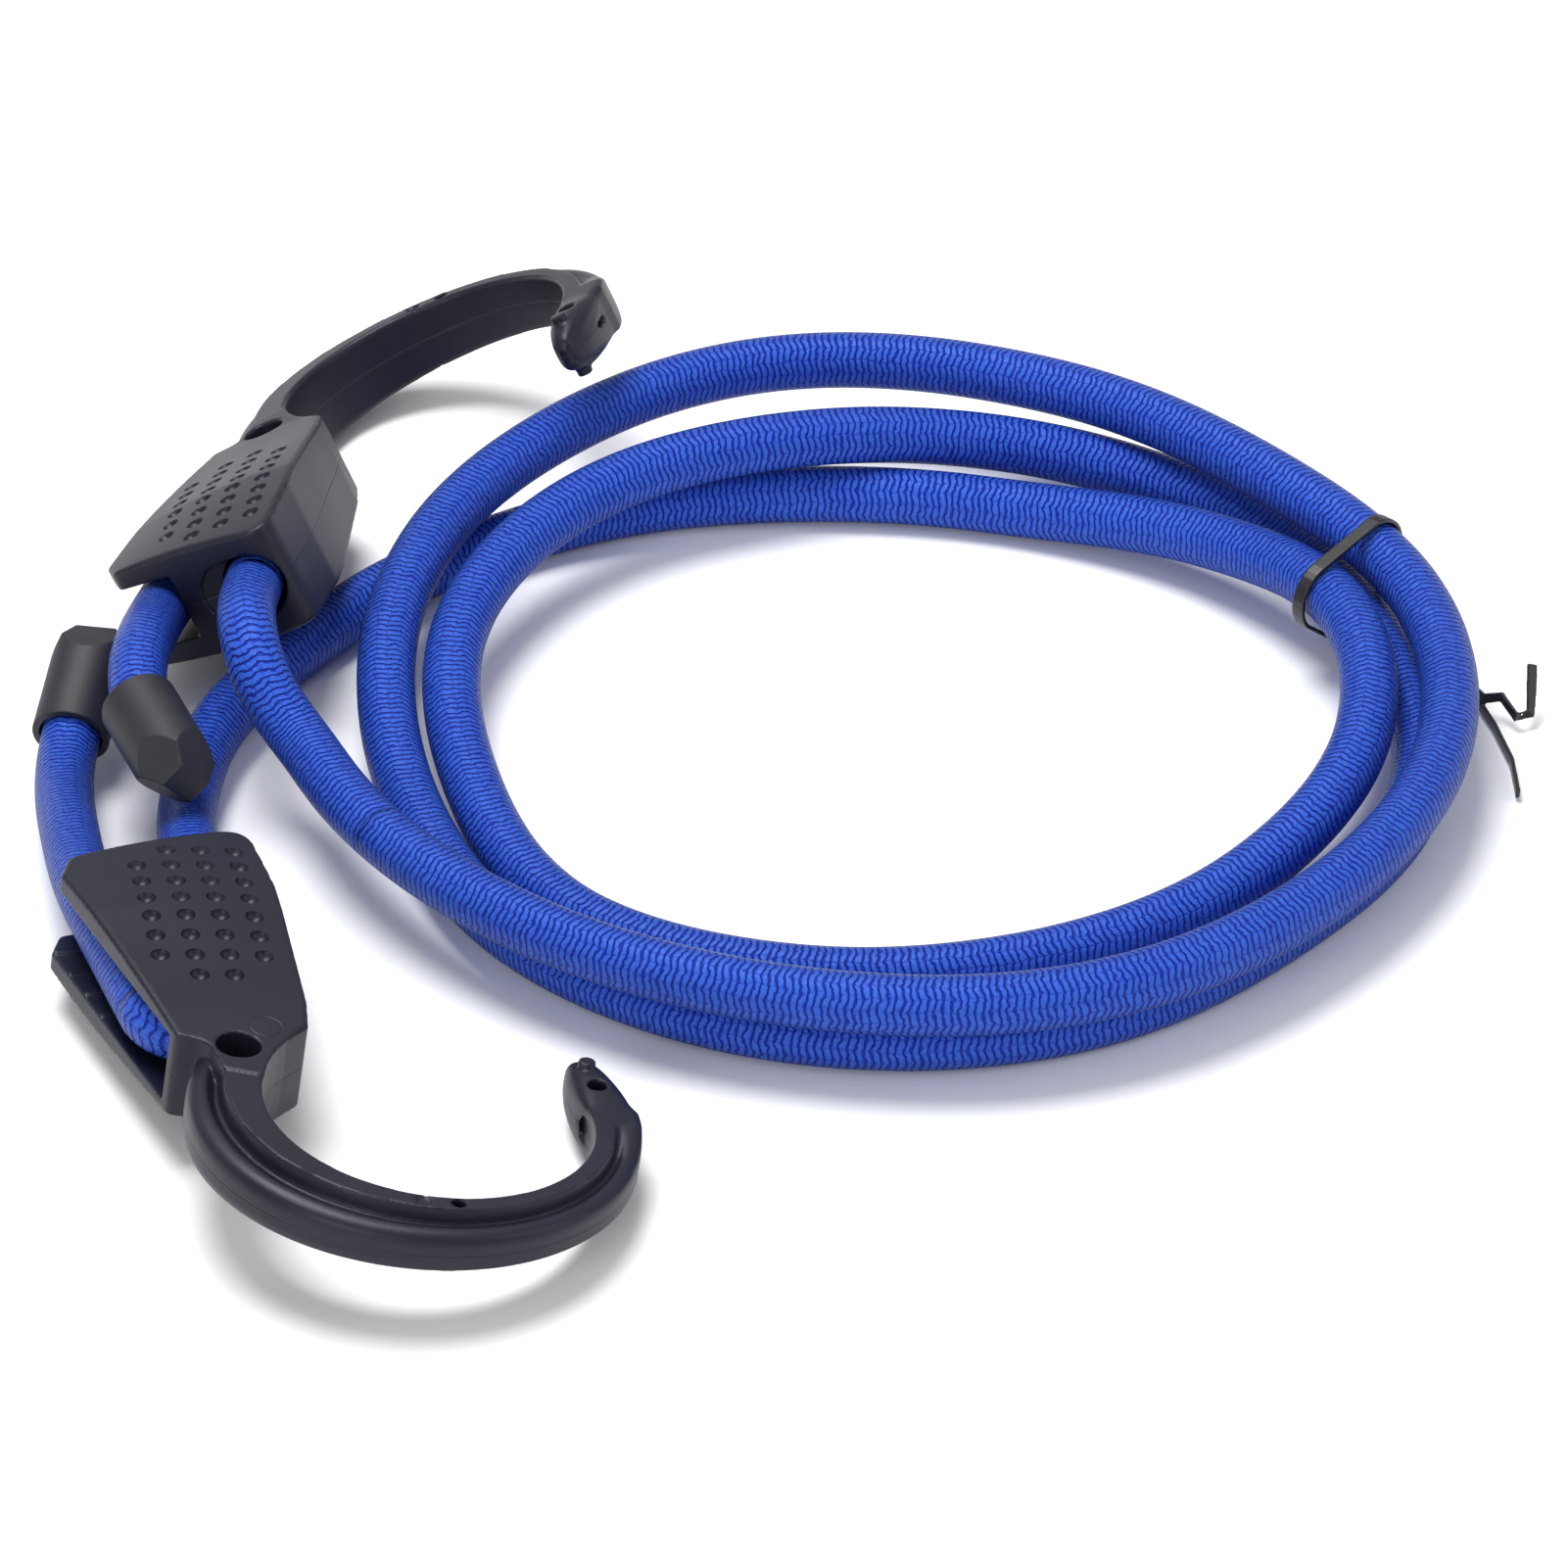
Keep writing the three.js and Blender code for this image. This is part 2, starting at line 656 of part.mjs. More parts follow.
// Tail: straight in the slot, free outside it, straight again in the cap's socket
function tailShape(hook, route, seat, heading) {
  const along = new THREE.Vector3(...heading).normalize();
  const rim = new THREE.Vector3(...seat);
  const end = rim.clone().addScaledVector(along, capSocketDepth - pieceGap);
  const slotExit = onHook(hook, tailPoint(tailExitReach));
  const free = smooth([slotExit, ...listed(route), rim]);
  return tube(cutBack([onHook(hook, tailSplit), ...free, end], pieceGap / 2, 0), cordRadius, cordSides);
}

// Cap: a round sleeve over the tail's end, drawn in by four flats to a small oblong end
function capShape(seat, heading, roll) {
  const flank = [[-1, -1], [1, -1], [1, 1], [-1, 1]].map((q) => new THREE.Vector2(...q));
  const sleeve = new THREE.CylinderGeometry(capDiameter / 2, capDiameter / 2, capLength, capSides);
  sleeve.rotateX(Math.PI / 2).translate(0, 0, capLength / 2);
  const grown = (capLength + overrun) / capFlankLength - 1;
  const size = (k, share) => THREE.MathUtils.lerp(capFlankSize[k], capEndSize[k], share) / 2;
  const rings = [-grown, 0, 1].map((share) => flank.map((q) =>
    new THREE.Vector3(q.x * size(0, share), q.y * size(1, share), capLength - capFlankLength * (1 - share))));
  const bore = new THREE.CylinderGeometry(socketRadius, socketRadius, capSocketDepth + overrun, capSides);
  bore.rotateX(Math.PI / 2).translate(0, 0, (capSocketDepth - overrun) / 2);
  const turned = new THREE.Matrix4().makeRotationZ(roll * degrees);
  const cap = toSolid(sleeve).intersect(toSolid(loft(rings, flank))).subtract(toSolid(bore));
  const along = new THREE.Vector3(...heading).normalize();
  const side = new THREE.Vector3().crossVectors(new THREE.Vector3(0, 0, 1), along).normalize();
  const place = new THREE.Matrix4().makeBasis(side, new THREE.Vector3().crossVectors(along, side), along);
  return toGeometry(cap).applyMatrix4(place.setPosition(...seat).multiply(turned));
}

// Twist tie: an upright band across the strands, with its two ends lying beside the coil
const tieHeading = (tieBearing + tieTurn) * degrees;
const tieAlong = new THREE.Vector3(Math.cos(tieHeading), Math.sin(tieHeading), 0);
const tieAcross = new THREE.Vector3(-Math.sin(tieHeading), Math.cos(tieHeading), 0);
const tieMiddle = coilPoint((tieBearing + 360 - coilStart) / stationStep).setZ(0);

// Where the strands on the tie's side of the coil cross the band's plane: distance along it, and height
function tiedStrands() {
  const strands = [];
  const coilMiddle = new THREE.Vector3(...coilCentre, 0).sub(tieMiddle);
  for (let i = 0; i + 1 < coilLine.length; i++) {
    const [a, b] = [coilLine[i], coilLine[i + 1]].map((p) => p.clone().sub(tieMiddle));
    const [before, after] = [a.dot(tieAcross), b.dot(tieAcross)];
    const crossing = a.clone().lerp(b, before / (before - after));
    const along = crossing.dot(tieAlong);
    const onTieSide = along > coilMiddle.dot(tieAlong);
    if (before * after <= 0 && onTieSide) strands.push(new THREE.Vector2(along, crossing.z));
  }
  return strands;
}

function tieOutline(grow) {
  const strands = tiedStrands();
  return Array.from({ length: tieSides }, (_, k) => {
    const angle = (k / tieSides) * 2 * Math.PI;
    const out = new THREE.Vector2(Math.cos(angle), Math.sin(angle));
    const widest = strands.reduce((best, s) => (s.dot(out) > best.dot(out) ? s : best));
    return widest.clone().addScaledVector(out, cordRadius + grow);
  });
}

function tieShape() {
  const band = new THREE.Shape(tieOutline(tieSlack + tieThickness));
  band.holes.push(new THREE.Path(tieOutline(tieSlack)));
  const ring = slab(band, tieWidth / 2);
  const up = new THREE.Vector3(0, 0, 1);
  const place = new THREE.Matrix4().makeBasis(tieAlong, up, tieAcross.clone().negate()).setPosition(tieMiddle);
  const section = [[-0.5, -0.5], [0.5, -0.5], [0.5, 0.5], [-0.5, 0.5]].map((q) => new THREE.Vector2(...q));
  const tails = [tieLongTail, tieShortTail].map((route) =>
    toSolid(carried(listed(route), section, tieThickness, tieTailWidth)));
  return toGeometry(ring.transform(place.elements).add(tails[0]).add(tails[1]));
}

// The clothesline
const group = new THREE.Group();
for (const hook of hooks) {
  group.add(namedMesh(`${hook.name}_hook_body`, hookShape.clone().applyMatrix4(hook.place), plasticMaterial));
  group.add(namedMesh(`${hook.name}_hook_core`, coreShape.clone().applyMatrix4(hook.place), steelMaterial));
}
const hooksBox = new THREE.Box3().setFromObject(group);
for (const hook of hooks) group.add(namedMesh(`${hook.name}_loop`, loopShape(hook), cordMaterial));
group.add(namedMesh("rope_coil", tube(cutBack(coilLine, pieceGap / 2, pieceGap / 2), cordRadius, coilSides), cordMaterial));
group.add(namedMesh("far_leg", tube(farLegLine, cordRadius, cordSides), cordMaterial));
group.add(namedMesh("near_leg", tube(nearLegLine, cordRadius, cordSides), cordMaterial));
group.add(namedMesh("near_tail", tailShape(nearHook, nearTailRoute, nearCapSeat, nearCapHeading), cordMaterial));
group.add(namedMesh("far_tail", tailShape(farHook, farTailRoute, farCapSeat, farCapHeading), cordMaterial));
group.add(namedMesh("near_cap", capShape(nearCapSeat, nearCapHeading, capRolls.near), rubberMaterial));
group.add(namedMesh("far_cap", capShape(farCapSeat, farCapHeading, capRolls.far), rubberMaterial));
group.add(namedMesh("twist_tie", tieShape(), tieMaterial));

// The hooks' middle goes over the origin
const middle = hooksBox.getCenter(new THREE.Vector3());
group.position.set(-middle.x, -middle.y, -hooksBox.min.z);

export default group;
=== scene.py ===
"""Looks of the travel clothesline: braided elastic cord, moulded clamp hooks, end caps and a twist tie."""
import math

import bmesh
import bpy
import numpy as np
from mathutils import Matrix, Vector


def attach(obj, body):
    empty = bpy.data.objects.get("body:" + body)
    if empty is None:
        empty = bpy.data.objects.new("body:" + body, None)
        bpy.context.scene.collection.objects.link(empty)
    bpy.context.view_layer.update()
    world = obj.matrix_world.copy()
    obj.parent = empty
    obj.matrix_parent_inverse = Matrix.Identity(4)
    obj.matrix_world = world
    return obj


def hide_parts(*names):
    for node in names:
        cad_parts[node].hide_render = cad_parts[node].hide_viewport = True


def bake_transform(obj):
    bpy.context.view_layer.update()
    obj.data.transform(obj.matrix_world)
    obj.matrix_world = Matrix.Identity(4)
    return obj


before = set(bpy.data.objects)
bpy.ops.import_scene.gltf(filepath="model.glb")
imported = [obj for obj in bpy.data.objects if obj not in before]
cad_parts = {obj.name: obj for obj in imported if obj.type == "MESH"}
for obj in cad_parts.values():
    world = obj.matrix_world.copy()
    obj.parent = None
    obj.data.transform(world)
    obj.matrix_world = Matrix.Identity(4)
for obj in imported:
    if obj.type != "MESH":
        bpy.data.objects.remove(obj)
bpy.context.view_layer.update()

MM = 0.001


# Shared by every piece
def new_object(name, data):
    made = bpy.data.objects.new(name, data)
    bpy.context.collection.objects.link(made)
    return made


def turns_of(sides):
    """Evenly spaced bearings once round, in radians."""
    return [2 * math.pi * k / sides for k in range(sides)]


def lerp(a, b, share):
    return a + (b - a) * share


# The camera stands in front of the table and looks down at the coil. Table coordinates have their
# origin under the picture's middle; TABLE is where that lies in the frame.
TABLE = Vector((68.6183, 9.7668, 0)) * MM
CAMERA_PLACE = (0, -1.2436, 0.8388)
CAMERA_SENSOR = 36
CAMERA_LENS = 211.5
CAMERA_CLIP_END = 10

camera_data = bpy.data.cameras.new("camera")
camera_data.sensor_width = CAMERA_SENSOR
camera_data.lens = CAMERA_LENS
camera_data.clip_end = CAMERA_CLIP_END
camera = new_object("camera", camera_data)
camera.location = TABLE + Vector(CAMERA_PLACE)
camera.rotation_euler = (TABLE - camera.location).to_track_quat("-Z", "Y").to_euler()
bpy.context.scene.camera = camera

# Cord: thick round elastic with a braided sheath. Its coil is given by stations of one angle step
# each, with their reach from the coil's centre and their height over the table, in millimetres.
CORD_RADIUS = 4.8 * MM
REST_HEIGHT = 4.9
COIL_CENTRE = (22, 10)
COIL_START = 195
STATION_STEP = 30
COIL_REACH = [
    100.5, 95, 92.8, 92.2, 87.9, 86.9, 85.2, 82.2, 89.4, 99.2, 94.5, 88.9,
    86.1, 88.5, 89.2, 87.3, 82, 83, 79.6, 82.6, 81, 74, 77, 77.6,
    75.3, 77.7, 73.5, 69.2, 69.2, 73, 73, 70, 68.4, 73.4, 86.2,
]
COIL_HEIGHT = [
    15.4, 14.8, 14.6, 14, 13.6, 14.6, 16.1, 17.5, 17.1, 15.4, 14.9, 13.4,
    7.5, 4.9, 4.9, 4.9, 4.9, 5.2, 7.2, 6.2, 9.4, 15.6, 15.2, 12.4,
    7.5, 4.9, 4.9, 4.9, 6.5, 12, 14.8, 9.2, 4.9, 4.9, 4.9,
]
FAR_LEG = [(-86.7, 3.5, 27.4), (-85.2, -2, 24.2), (-82.2, -6.6, 19.8)]
NEAR_LEG = [
    (-56, 60, 4.9), (-66.1, 51.6, 4.9), (-73.1, 43.2, 4.9), (-78.8, 35.1, 4.9),
    (-83.8, 27.2, 4.9), (-88.3, 19.5, 4.9), (-91.8, 12, 4.9), (-94.3, 3.8, 4.9),
    (-95.7, -6.4, 4.9), (-96.2, -15, 5.5), (-95.9, -23, 6.7),
]
NEAR_TAIL = [(-112, -40.5, 11.4), (-114, -29, 10), (-115.8, -16, 7.6), (-116.5, -5, 7)]
FAR_TAIL = [(-103.7, 13, 20.3), (-104.8, 1.8, 21.5)]
NEAR_CAP = ((-115.9, 1.2, 8.5), (0.16, 0.93, 0.3))
FAR_CAP = ((-103.9, -7, 20), (0.4, -0.91, -0.1))
SOCKET_DEPTH = 11.7
LEAD = 6

# Clamp hooks: where each one's middle lies in the frame, and the headings of its faces
HOOK_SEAT = {
    "near": ((-22.8817, -58.9332, 12.5284), (0.205, -0.977, 0.059), (-0.142, -0.089, -0.986)),
    "far": ((-19.5817, 54.2668, 18.4086), (0.087, 0.976, -0.2), (-0.422, 0.218, 0.88)),
}
MOUTH_OFFSET = 4.1
MOUTH_REACH = 28.5
BEND_RADIUS = 7
BEND_REACH = 14
BEND_STEPS = 24
TAIL_LEAN = 7.5
TAIL_EXIT = 20


def on_table(p):
    return Vector(p) * MM + TABLE


def hook_place(side):
    """Placement of a hook: from its own millimetres to the frame's metres."""
    seat, heading, face = HOOK_SEAT[side]
    v = Vector(heading).normalized()
    u = v.cross(Vector(face)).normalized()
    w = u.cross(v)
    turn = Matrix((u, v, w)).transposed().to_4x4()
    return Matrix.Translation(Vector(seat) * MM) @ turn @ Matrix.Scale(MM, 4)


def smooth_value(values, count):
    """Value between stations on a uniform cubic through them."""
    i = min(int(count), len(values) - 2)
    b, c = values[i], values[i + 1]
    a = values[i - 1] if i > 0 else 2 * b - c
    d = values[i + 2] if i + 2 < len(values) else 2 * c - b
    t = count - i
    return b + 0.5 * t * (c - a + t * (2 * a - 5 * b + 4 * c - d + t * (3 * (b - c) + d - a)))


def coil_point(count):
    angle = math.radians(COIL_START + STATION_STEP * count)
    out = smooth_value(COIL_REACH, count)
    height = max(REST_HEIGHT, smooth_value(COIL_HEIGHT, count))
    x, y = COIL_CENTRE
    return on_table((x + out * math.cos(angle), y + out * math.sin(angle), height))


def through(points, steps):
    """Points on a smooth centripetal curve through the given ones."""
    first = 2 * points[0] - points[1]
    last = 2 * points[-1] - points[-2]
    near = [first, *points, last]
    made = [points[0]]
    for a, b, c, d in zip(near, near[1:], near[2:], near[3:]):
        r, s, t = ((q - p).length ** 0.5 for p, q in ((a, b), (b, c), (c, d)))
        leave = ((b - a) / r - (c - a) / (r + s) + (c - b) / s) * s
        enter = ((c - b) / s - (d - b) / (s + t) + (d - c) / t) * s
        for k in range(1, steps + 1):
            x = k / steps
            made.append(b + leave * x + (3 * (c - b) - 2 * leave - enter) * x ** 2
                        + (2 * (b - c) + leave + enter) * x ** 3)
    return made


def bend_line():
    """The cord's way round a clamp's bend, in the hook's own millimetres."""
    centre = Vector((MOUTH_OFFSET - BEND_RADIUS, BEND_REACH, 0))
    bearings = [math.radians((180 - TAIL_LEAN) * k / BEND_STEPS) for k in range(BEND_STEPS + 1)]
    return [centre + BEND_RADIUS * Vector((math.cos(a), math.sin(a), 0)) for a in bearings]


def tail_away():
    """The cord's heading in the open slot, away from the bend."""
    lean = math.radians(TAIL_LEAN)
    return Vector((-math.sin(lean), -math.cos(lean), 0))


def tail_point(reach):
    """A point on the cord's line in the slot, at a reach towards the mouth."""
    end = bend_line()[-1]
    return end + tail_away() * (end.y + reach) / math.cos(math.radians(TAIL_LEAN))


def clamp_route(side):
    """Cord's line in a clamp: in at the mouth, round the bend and out of the slot."""
    place = hook_place(side)
    mouth = Vector((MOUTH_OFFSET, -MOUTH_REACH, 0))
    return [place @ p for p in [mouth - Vector((0, LEAD, 0)), mouth, *bend_line(), tail_point(TAIL_EXIT)]]


def tail_end(cap):
    seat, heading = cap
    return on_table(seat), on_table(seat) + Vector(heading).normalized() * SOCKET_DEPTH * MM


def coil_lead(end, next_point):
    return end + (end - next_point).normalized() * LEAD * MM


def spaced(line, step):
    """The line's points again, evenly spaced, and its length up to each of the given ones."""
    reach = [0]
    for a, b in zip(line, line[1:]):
        reach.append(reach[-1] + (b - a).length)
    count = max(2, round(reach[-1] / step))
    made, i = [], 0
    for k in range(count + 1):
        at = reach[-1] * k / count
        while i + 2 < len(line) and reach[i + 1] < at:
            i += 1
        share = (at - reach[i]) / (reach[i + 1] - reach[i])
        made.append(line[i].lerp(line[i + 1], share))
    return made, reach


# The whole cord as one line, from the far cap to the near cap
COIL_STEPS = 8
FREE_STEPS = 12
LEG_STEPS = 10
coil_line = [coil_point(k / COIL_STEPS) for k in range(COIL_STEPS * (len(COIL_REACH) - 1) + 1)]
coil_first = coil_lead(coil_line[0], coil_line[1])
coil_last = coil_lead(coil_line[-1], coil_line[-2])
far_clamp = clamp_route("far")
near_clamp = clamp_route("near")
far_rim, far_tip = tail_end(FAR_CAP)
near_rim, near_tip = tail_end(NEAR_CAP)
far_free = through([far_clamp[-1], *map(on_table, FAR_TAIL), far_rim], FREE_STEPS)
near_free = through([near_clamp[-1], *map(on_table, NEAR_TAIL), near_rim], FREE_STEPS)
far_leg = through([far_clamp[0], *map(on_table, FAR_LEG), coil_first], LEG_STEPS)
near_leg = through([coil_last, *map(on_table, NEAR_LEG), near_clamp[0]], LEG_STEPS)
stretches = [
    [far_tip, *far_free[::-1]],
    far_clamp[-2:0:-1],
    far_leg,
    coil_line,
    near_leg,
    near_clamp[1:-1],
    [*near_free, near_tip],
]
cord_line = [p for stretch in stretches for p in stretch]
count_to = [0]
for stretch in stretches:
    count_to.append(count_to[-1] + len(stretch))
far_clamp_at, far_leg_at, coil_at, near_leg_at, near_clamp_at, near_tail_at = count_to[1:-1]
RING_STEP = 1.7 * MM
rings, length_to = spaced(cord_line, RING_STEP)
ring_step = length_to[-1] / (len(rings) - 1)


def ring_at(distance):
    return round(distance / ring_step)


def relaxed(line, held, passes):
    """The line with its kinks drawn out, as elastic cord draws them out, apart from its held places."""
    line = list(line)
    for _ in range(passes):
        drawn = [(line[i - 1] + 2 * line[i] + line[i + 1]) / 4 for i in range(1, len(line) - 1)]
        line[1:-1] = [old if i in held else new for i, (old, new) in enumerate(zip(line[1:-1], drawn), 1)]
    return line


# A clamp holds the cord round its bend, and a cap holds the end in its socket
HOLD_INSET = 2
RELAX_PASSES = 14


def held_between(first, last):
    return range(ring_at(length_to[first]) + HOLD_INSET, ring_at(length_to[last]) - HOLD_INSET + 1)


in_far_clamp = held_between(far_clamp_at - 1, far_leg_at - 1)
in_near_clamp = held_between(near_clamp_at, near_tail_at)
cap_rings = ring_at(SOCKET_DEPTH * MM)
in_caps = [*range(cap_rings), *range(len(rings) - cap_rings, len(rings))]
rings = relaxed(rings, {*in_far_clamp, *in_near_clamp, *in_caps}, RELAX_PASSES)

# Where one cord piece ends and the next begins: inside a clamp's mouth, where the coil carries a leg,
# and where the near clamp's bend runs out into the straight tail
MOUTH_HIDDEN = 4 * MM
LEG_ON_COIL = 24 * MM
far_mouth = ring_at(length_to[far_leg_at - 1] - MOUTH_HIDDEN)
coil_begin = ring_at(length_to[coil_at] + LEG_ON_COIL)
coil_finish = ring_at(length_to[near_leg_at])
near_turned = ring_at(length_to[near_tail_at - 1]) + 1
last_ring = len(rings) - 1


def headings_of(line):
    last = len(line) - 1
    return [(line[min(i + 1, last)] - line[max(i - 1, 0)]).normalized() for i in range(len(line))]


def carried_sides(headings):
    """A side for each ring that turns with the line and never twists round it."""
    side = headings[0].orthogonal().normalized()
    made = []
    for along in headings:
        side = (side - along * side.dot(along)).normalized()
        made.append(side.copy())
    return made


cord_headings = headings_of(rings)
cord_sides = carried_sides(cord_headings)
SHEATH_SIDES = 28


def sheath(name, first, last):
    """A stretch of the cord as a closed tube. Its UV map holds the share round and the metres along."""
    bm = bmesh.new()
    uv = bm.loops.layers.uv.new("sheath")
    bearings = turns_of(SHEATH_SIDES)
    made = []
    for i in range(first, last + 1):
        out = cord_sides[i]
        over = cord_headings[i].cross(out)
        ring = [rings[i] + CORD_RADIUS * (math.cos(a) * out + math.sin(a) * over) for a in bearings]
        made.append([bm.verts.new(p) for p in ring])
    for i in range(len(made) - 1):
        for k in range(SHEATH_SIDES):
            n = (k + 1) % SHEATH_SIDES
            face = bm.faces.new((made[i][k], made[i][n], made[i + 1][n], made[i + 1][k]))
            face.smooth = True
            shares = (k, k + 1, k + 1, k)
            steps = (first + i, first + i, first + i + 1, first + i + 1)
            for loop, share, step in zip(face.loops, shares, steps):
                loop[uv].uv = (share / SHEATH_SIDES, step * ring_step)
    bm.faces.new(made[0][::-1])
    bm.faces.new(made[-1])
    mesh = bpy.data.meshes.new(name)
    bm.to_mesh(mesh)
    bm.free()
    return new_object(name, mesh)


# Materials
def srgb(code):
    """A hex colour as the linear value that shaders take."""
    parts = [int(code[i:i + 2], 16) / 255 for i in (1, 3, 5)]
    return (*[c / 12.92 if c <= 0.04045 else ((c + 0.055) / 1.055) ** 2.4 for c in parts], 1)


def feed(tree, socket, value):
    """A node's input, linked to another node's output or set to a plain value."""
    if isinstance(value, bpy.types.NodeSocket):
        tree.links.new(value, socket)
    else:
        socket.default_value = value


def node(tree, kind, settings=None, **links):
    """A node with its settings, and its inputs set or linked by name or number."""
    made = tree.nodes.new(kind)
    for name, value in (settings or {}).items():
        setattr(made, name, value)
    for name, value in links.items():
        numbered = name[0] == "i" and name[1:].isdigit()
        feed(tree, made.inputs[int(name[1:]) if numbered else name.replace("_", " ")], value)
    return made


def new_material(name, roughness, metallic=0.0, ior=1.5, specular=0.5, tint="#ffffff"):
    material = bpy.data.materials.new(name)
    material.use_nodes = True
    shader = material.node_tree.nodes["Principled BSDF"]
    shader.inputs["Roughness"].default_value = roughness
    shader.inputs["Metallic"].default_value = metallic
    shader.inputs["IOR"].default_value = ior
    shader.inputs["Specular IOR Level"].default_value = specular
    shader.inputs["Specular Tint"].default_value = srgb(tint)
    return material, material.node_tree, shader


def mathed(tree, operation, a, b=0.5, c=0.5):
    return node(tree, "ShaderNodeMath", {"operation": operation}, i0=a, i1=b, i2=c).outputs[0]


def object_place(tree):
    return node(tree, "ShaderNodeTexCoord").outputs["Object"]


def noise(tree, place, scale, detail):
    return node(tree, "ShaderNodeTexNoise", Vector=place, Scale=scale, Detail=detail).outputs["Fac"]


def eased(tree, value, low, high, start=0.0, end=1.0):
    """Smooth run from start to end while a value goes from low to high."""
    return node(tree, "ShaderNodeMapRange", {"interpolation_type": "SMOOTHSTEP"}, Value=value,
                From_Min=low, From_Max=high, To_Min=start, To_Max=end).outputs[0]


def ramp(tree, value, stops):
    """Colour ramp over a value, its stops given as place and hex colour."""
    made = node(tree, "ShaderNodeValToRGB", Fac=value)
    points = made.color_ramp.elements
    while len(points) < len(stops):
        points.new(0.5)
    for point, (place, code) in zip(points, stops):
        point.position = place
        point.color = srgb(code)
    return made.outputs["Color"]


def bumped(tree, shader, height, strength, depth):
    """Fine relief from a height, its depth given in millimetres."""
    bump = node(tree, "ShaderNodeBump", Strength=strength, Distance=depth * MM, Height=height)
    tree.links.new(bump.outputs["Normal"], shader.inputs["Normal"])


# Braid: ribs and columns first, in shares of their pitch, then the threads and the painted shade
RIB_PITCH = 1.2 * MM
RIB_FLANK = 0.27
RIB_LEAN = 0.45
RIB_SLIP = 0.85
COLUMNS = 14.0
COLUMN_WANDER = 0.9
SEAM_HALF = 0.16
SEAM_LEVEL = 0.78
THREADS_ROUND = 14.0
THREADS_PER_METRE = 6000.0
THREAD_RELIEF = 0.2
THREAD_TONE = 0.9
BLOTCH_TONE = 0.25
# Painted shade: how far the colour darkens towards the cord's sides, and how fast
PAINTED_SIDE_SHADE = 0.62
PAINTED_SIDE_SHADE_POWER = 1.5


def braided_polyester():
    """Dyed polyester yarn braided tightly over rubber: ribs run across the cord in a shallow zigzag,
    leaning one way and then the other from column to column. The colour is darkened in the thin gap
    between ribs and along the column seams as painted shade, and darkened towards the cord's sides,
    where it turns away from the view, as painted shade too; the threads and blotches are the yarn's own tone."""
    material, tree, shader = new_material("braided_polyester_sheath", roughness=0.4, specular=0.22,
                                          tint="#b4caff")
    uv = node(tree, "ShaderNodeUVMap", {"uv_map": "sheath"}).outputs["UV"]
    split = node(tree, "ShaderNodeSeparateXYZ", i0=uv)
    turns, metres = split.outputs["X"], split.outputs["Y"]
    place = object_place(tree)
    wander = noise(tree, place, scale=420.0, detail=1.0)
    column = mathed(tree, "MULTIPLY_ADD", wander, COLUMN_WANDER, mathed(tree, "MULTIPLY", turns, COLUMNS))
    zigzag = mathed(tree, "PINGPONG", column, 1.0)
    count = mathed(tree, "DIVIDE", metres, RIB_PITCH)
    leaning = mathed(tree, "MULTIPLY_ADD", zigzag, RIB_LEAN, count)
    slip = noise(tree, place, scale=900.0, detail=2.0)
    rib = mathed(tree, "PINGPONG", mathed(tree, "MULTIPLY_ADD", slip, RIB_SLIP, leaning), 0.5)
    crest = eased(tree, rib, 0.0, RIB_FLANK)
    seam = eased(tree, mathed(tree, "PINGPONG", column, 0.5), 0.0, SEAM_HALF, start=SEAM_LEVEL)
    height = mathed(tree, "MULTIPLY", crest, seam)
    thread_place = node(tree, "ShaderNodeCombineXYZ", i0=mathed(tree, "MULTIPLY", turns, THREADS_ROUND),
                        i1=mathed(tree, "MULTIPLY", metres, THREADS_PER_METRE)).outputs[0]
    threads = noise(tree, thread_place, scale=1.0, detail=2.0)
    relief = mathed(tree, "MULTIPLY_ADD", threads, THREAD_RELIEF, height)
    blotch = noise(tree, place, scale=60.0, detail=2.0)
    # Painted shade: the colour is darker in the gaps between ribs and along the column seams, taken from the
    # rib height; the thread and blotch noise are the yarn's own tone
    threads_and_painted_gap_shade = mathed(tree, "MULTIPLY_ADD", mathed(tree, "SUBTRACT", threads, 0.5), THREAD_TONE, height)
    tone = mathed(tree, "MULTIPLY_ADD", mathed(tree, "SUBTRACT", blotch, 0.5), BLOTCH_TONE, threads_and_painted_gap_shade)
    colour = ramp(tree, tone, [(0.0, "#12218a"), (0.3, "#1e37a8"), (0.7, "#2748bb"), (1.0, "#355fcb")])
    # Painted shade: the base colour darkens towards the cord's silhouette, where the surface turns away from
    # the view
    aslant = node(tree, "ShaderNodeLayerWeight", Blend=0.5).outputs["Facing"]
    to_side = mathed(tree, "POWER", aslant, PAINTED_SIDE_SHADE_POWER)
    side_darkening_painted = mathed(tree, "MULTIPLY_ADD", to_side, -PAINTED_SIDE_SHADE, 1.0)
    colour_with_painted_shade = node(tree, "ShaderNodeVectorMath", {"operation": "SCALE"}, i0=colour, Scale=side_darkening_painted).outputs[0]
    tree.links.new(colour_with_painted_shade, shader.inputs["Base Color"])
    bumped(tree, shader, relief, strength=1.0, depth=0.3)
    return material


# Hook plastic: how far its roughness drifts, and the marks that the mould leaves, in the hook's own
# millimetres
PLASTIC_ROUGHNESS = 0.42
CLOUD_POLISH = 0.06
CLOUD_HAZE = 0.08
EJECTOR_MARK = (5, 31)
EJECTOR_RADIUS = 2.5
EJECTOR_LINE = 0.14
PARTING_LINE = 0.12
LINE_FLOOR = 0.3
LINE_BRIM = 1.6
MARK_RELIEF = 3.2


def fine_line(tree, value, place, half):
    """1 away from a place along a value, falling to 0 on it: a groove."""
    away = mathed(tree, "ABSOLUTE", mathed(tree, "SUBTRACT", value, float(place)))
    return eased(tree, away, LINE_FLOOR * half, LINE_BRIM * half)


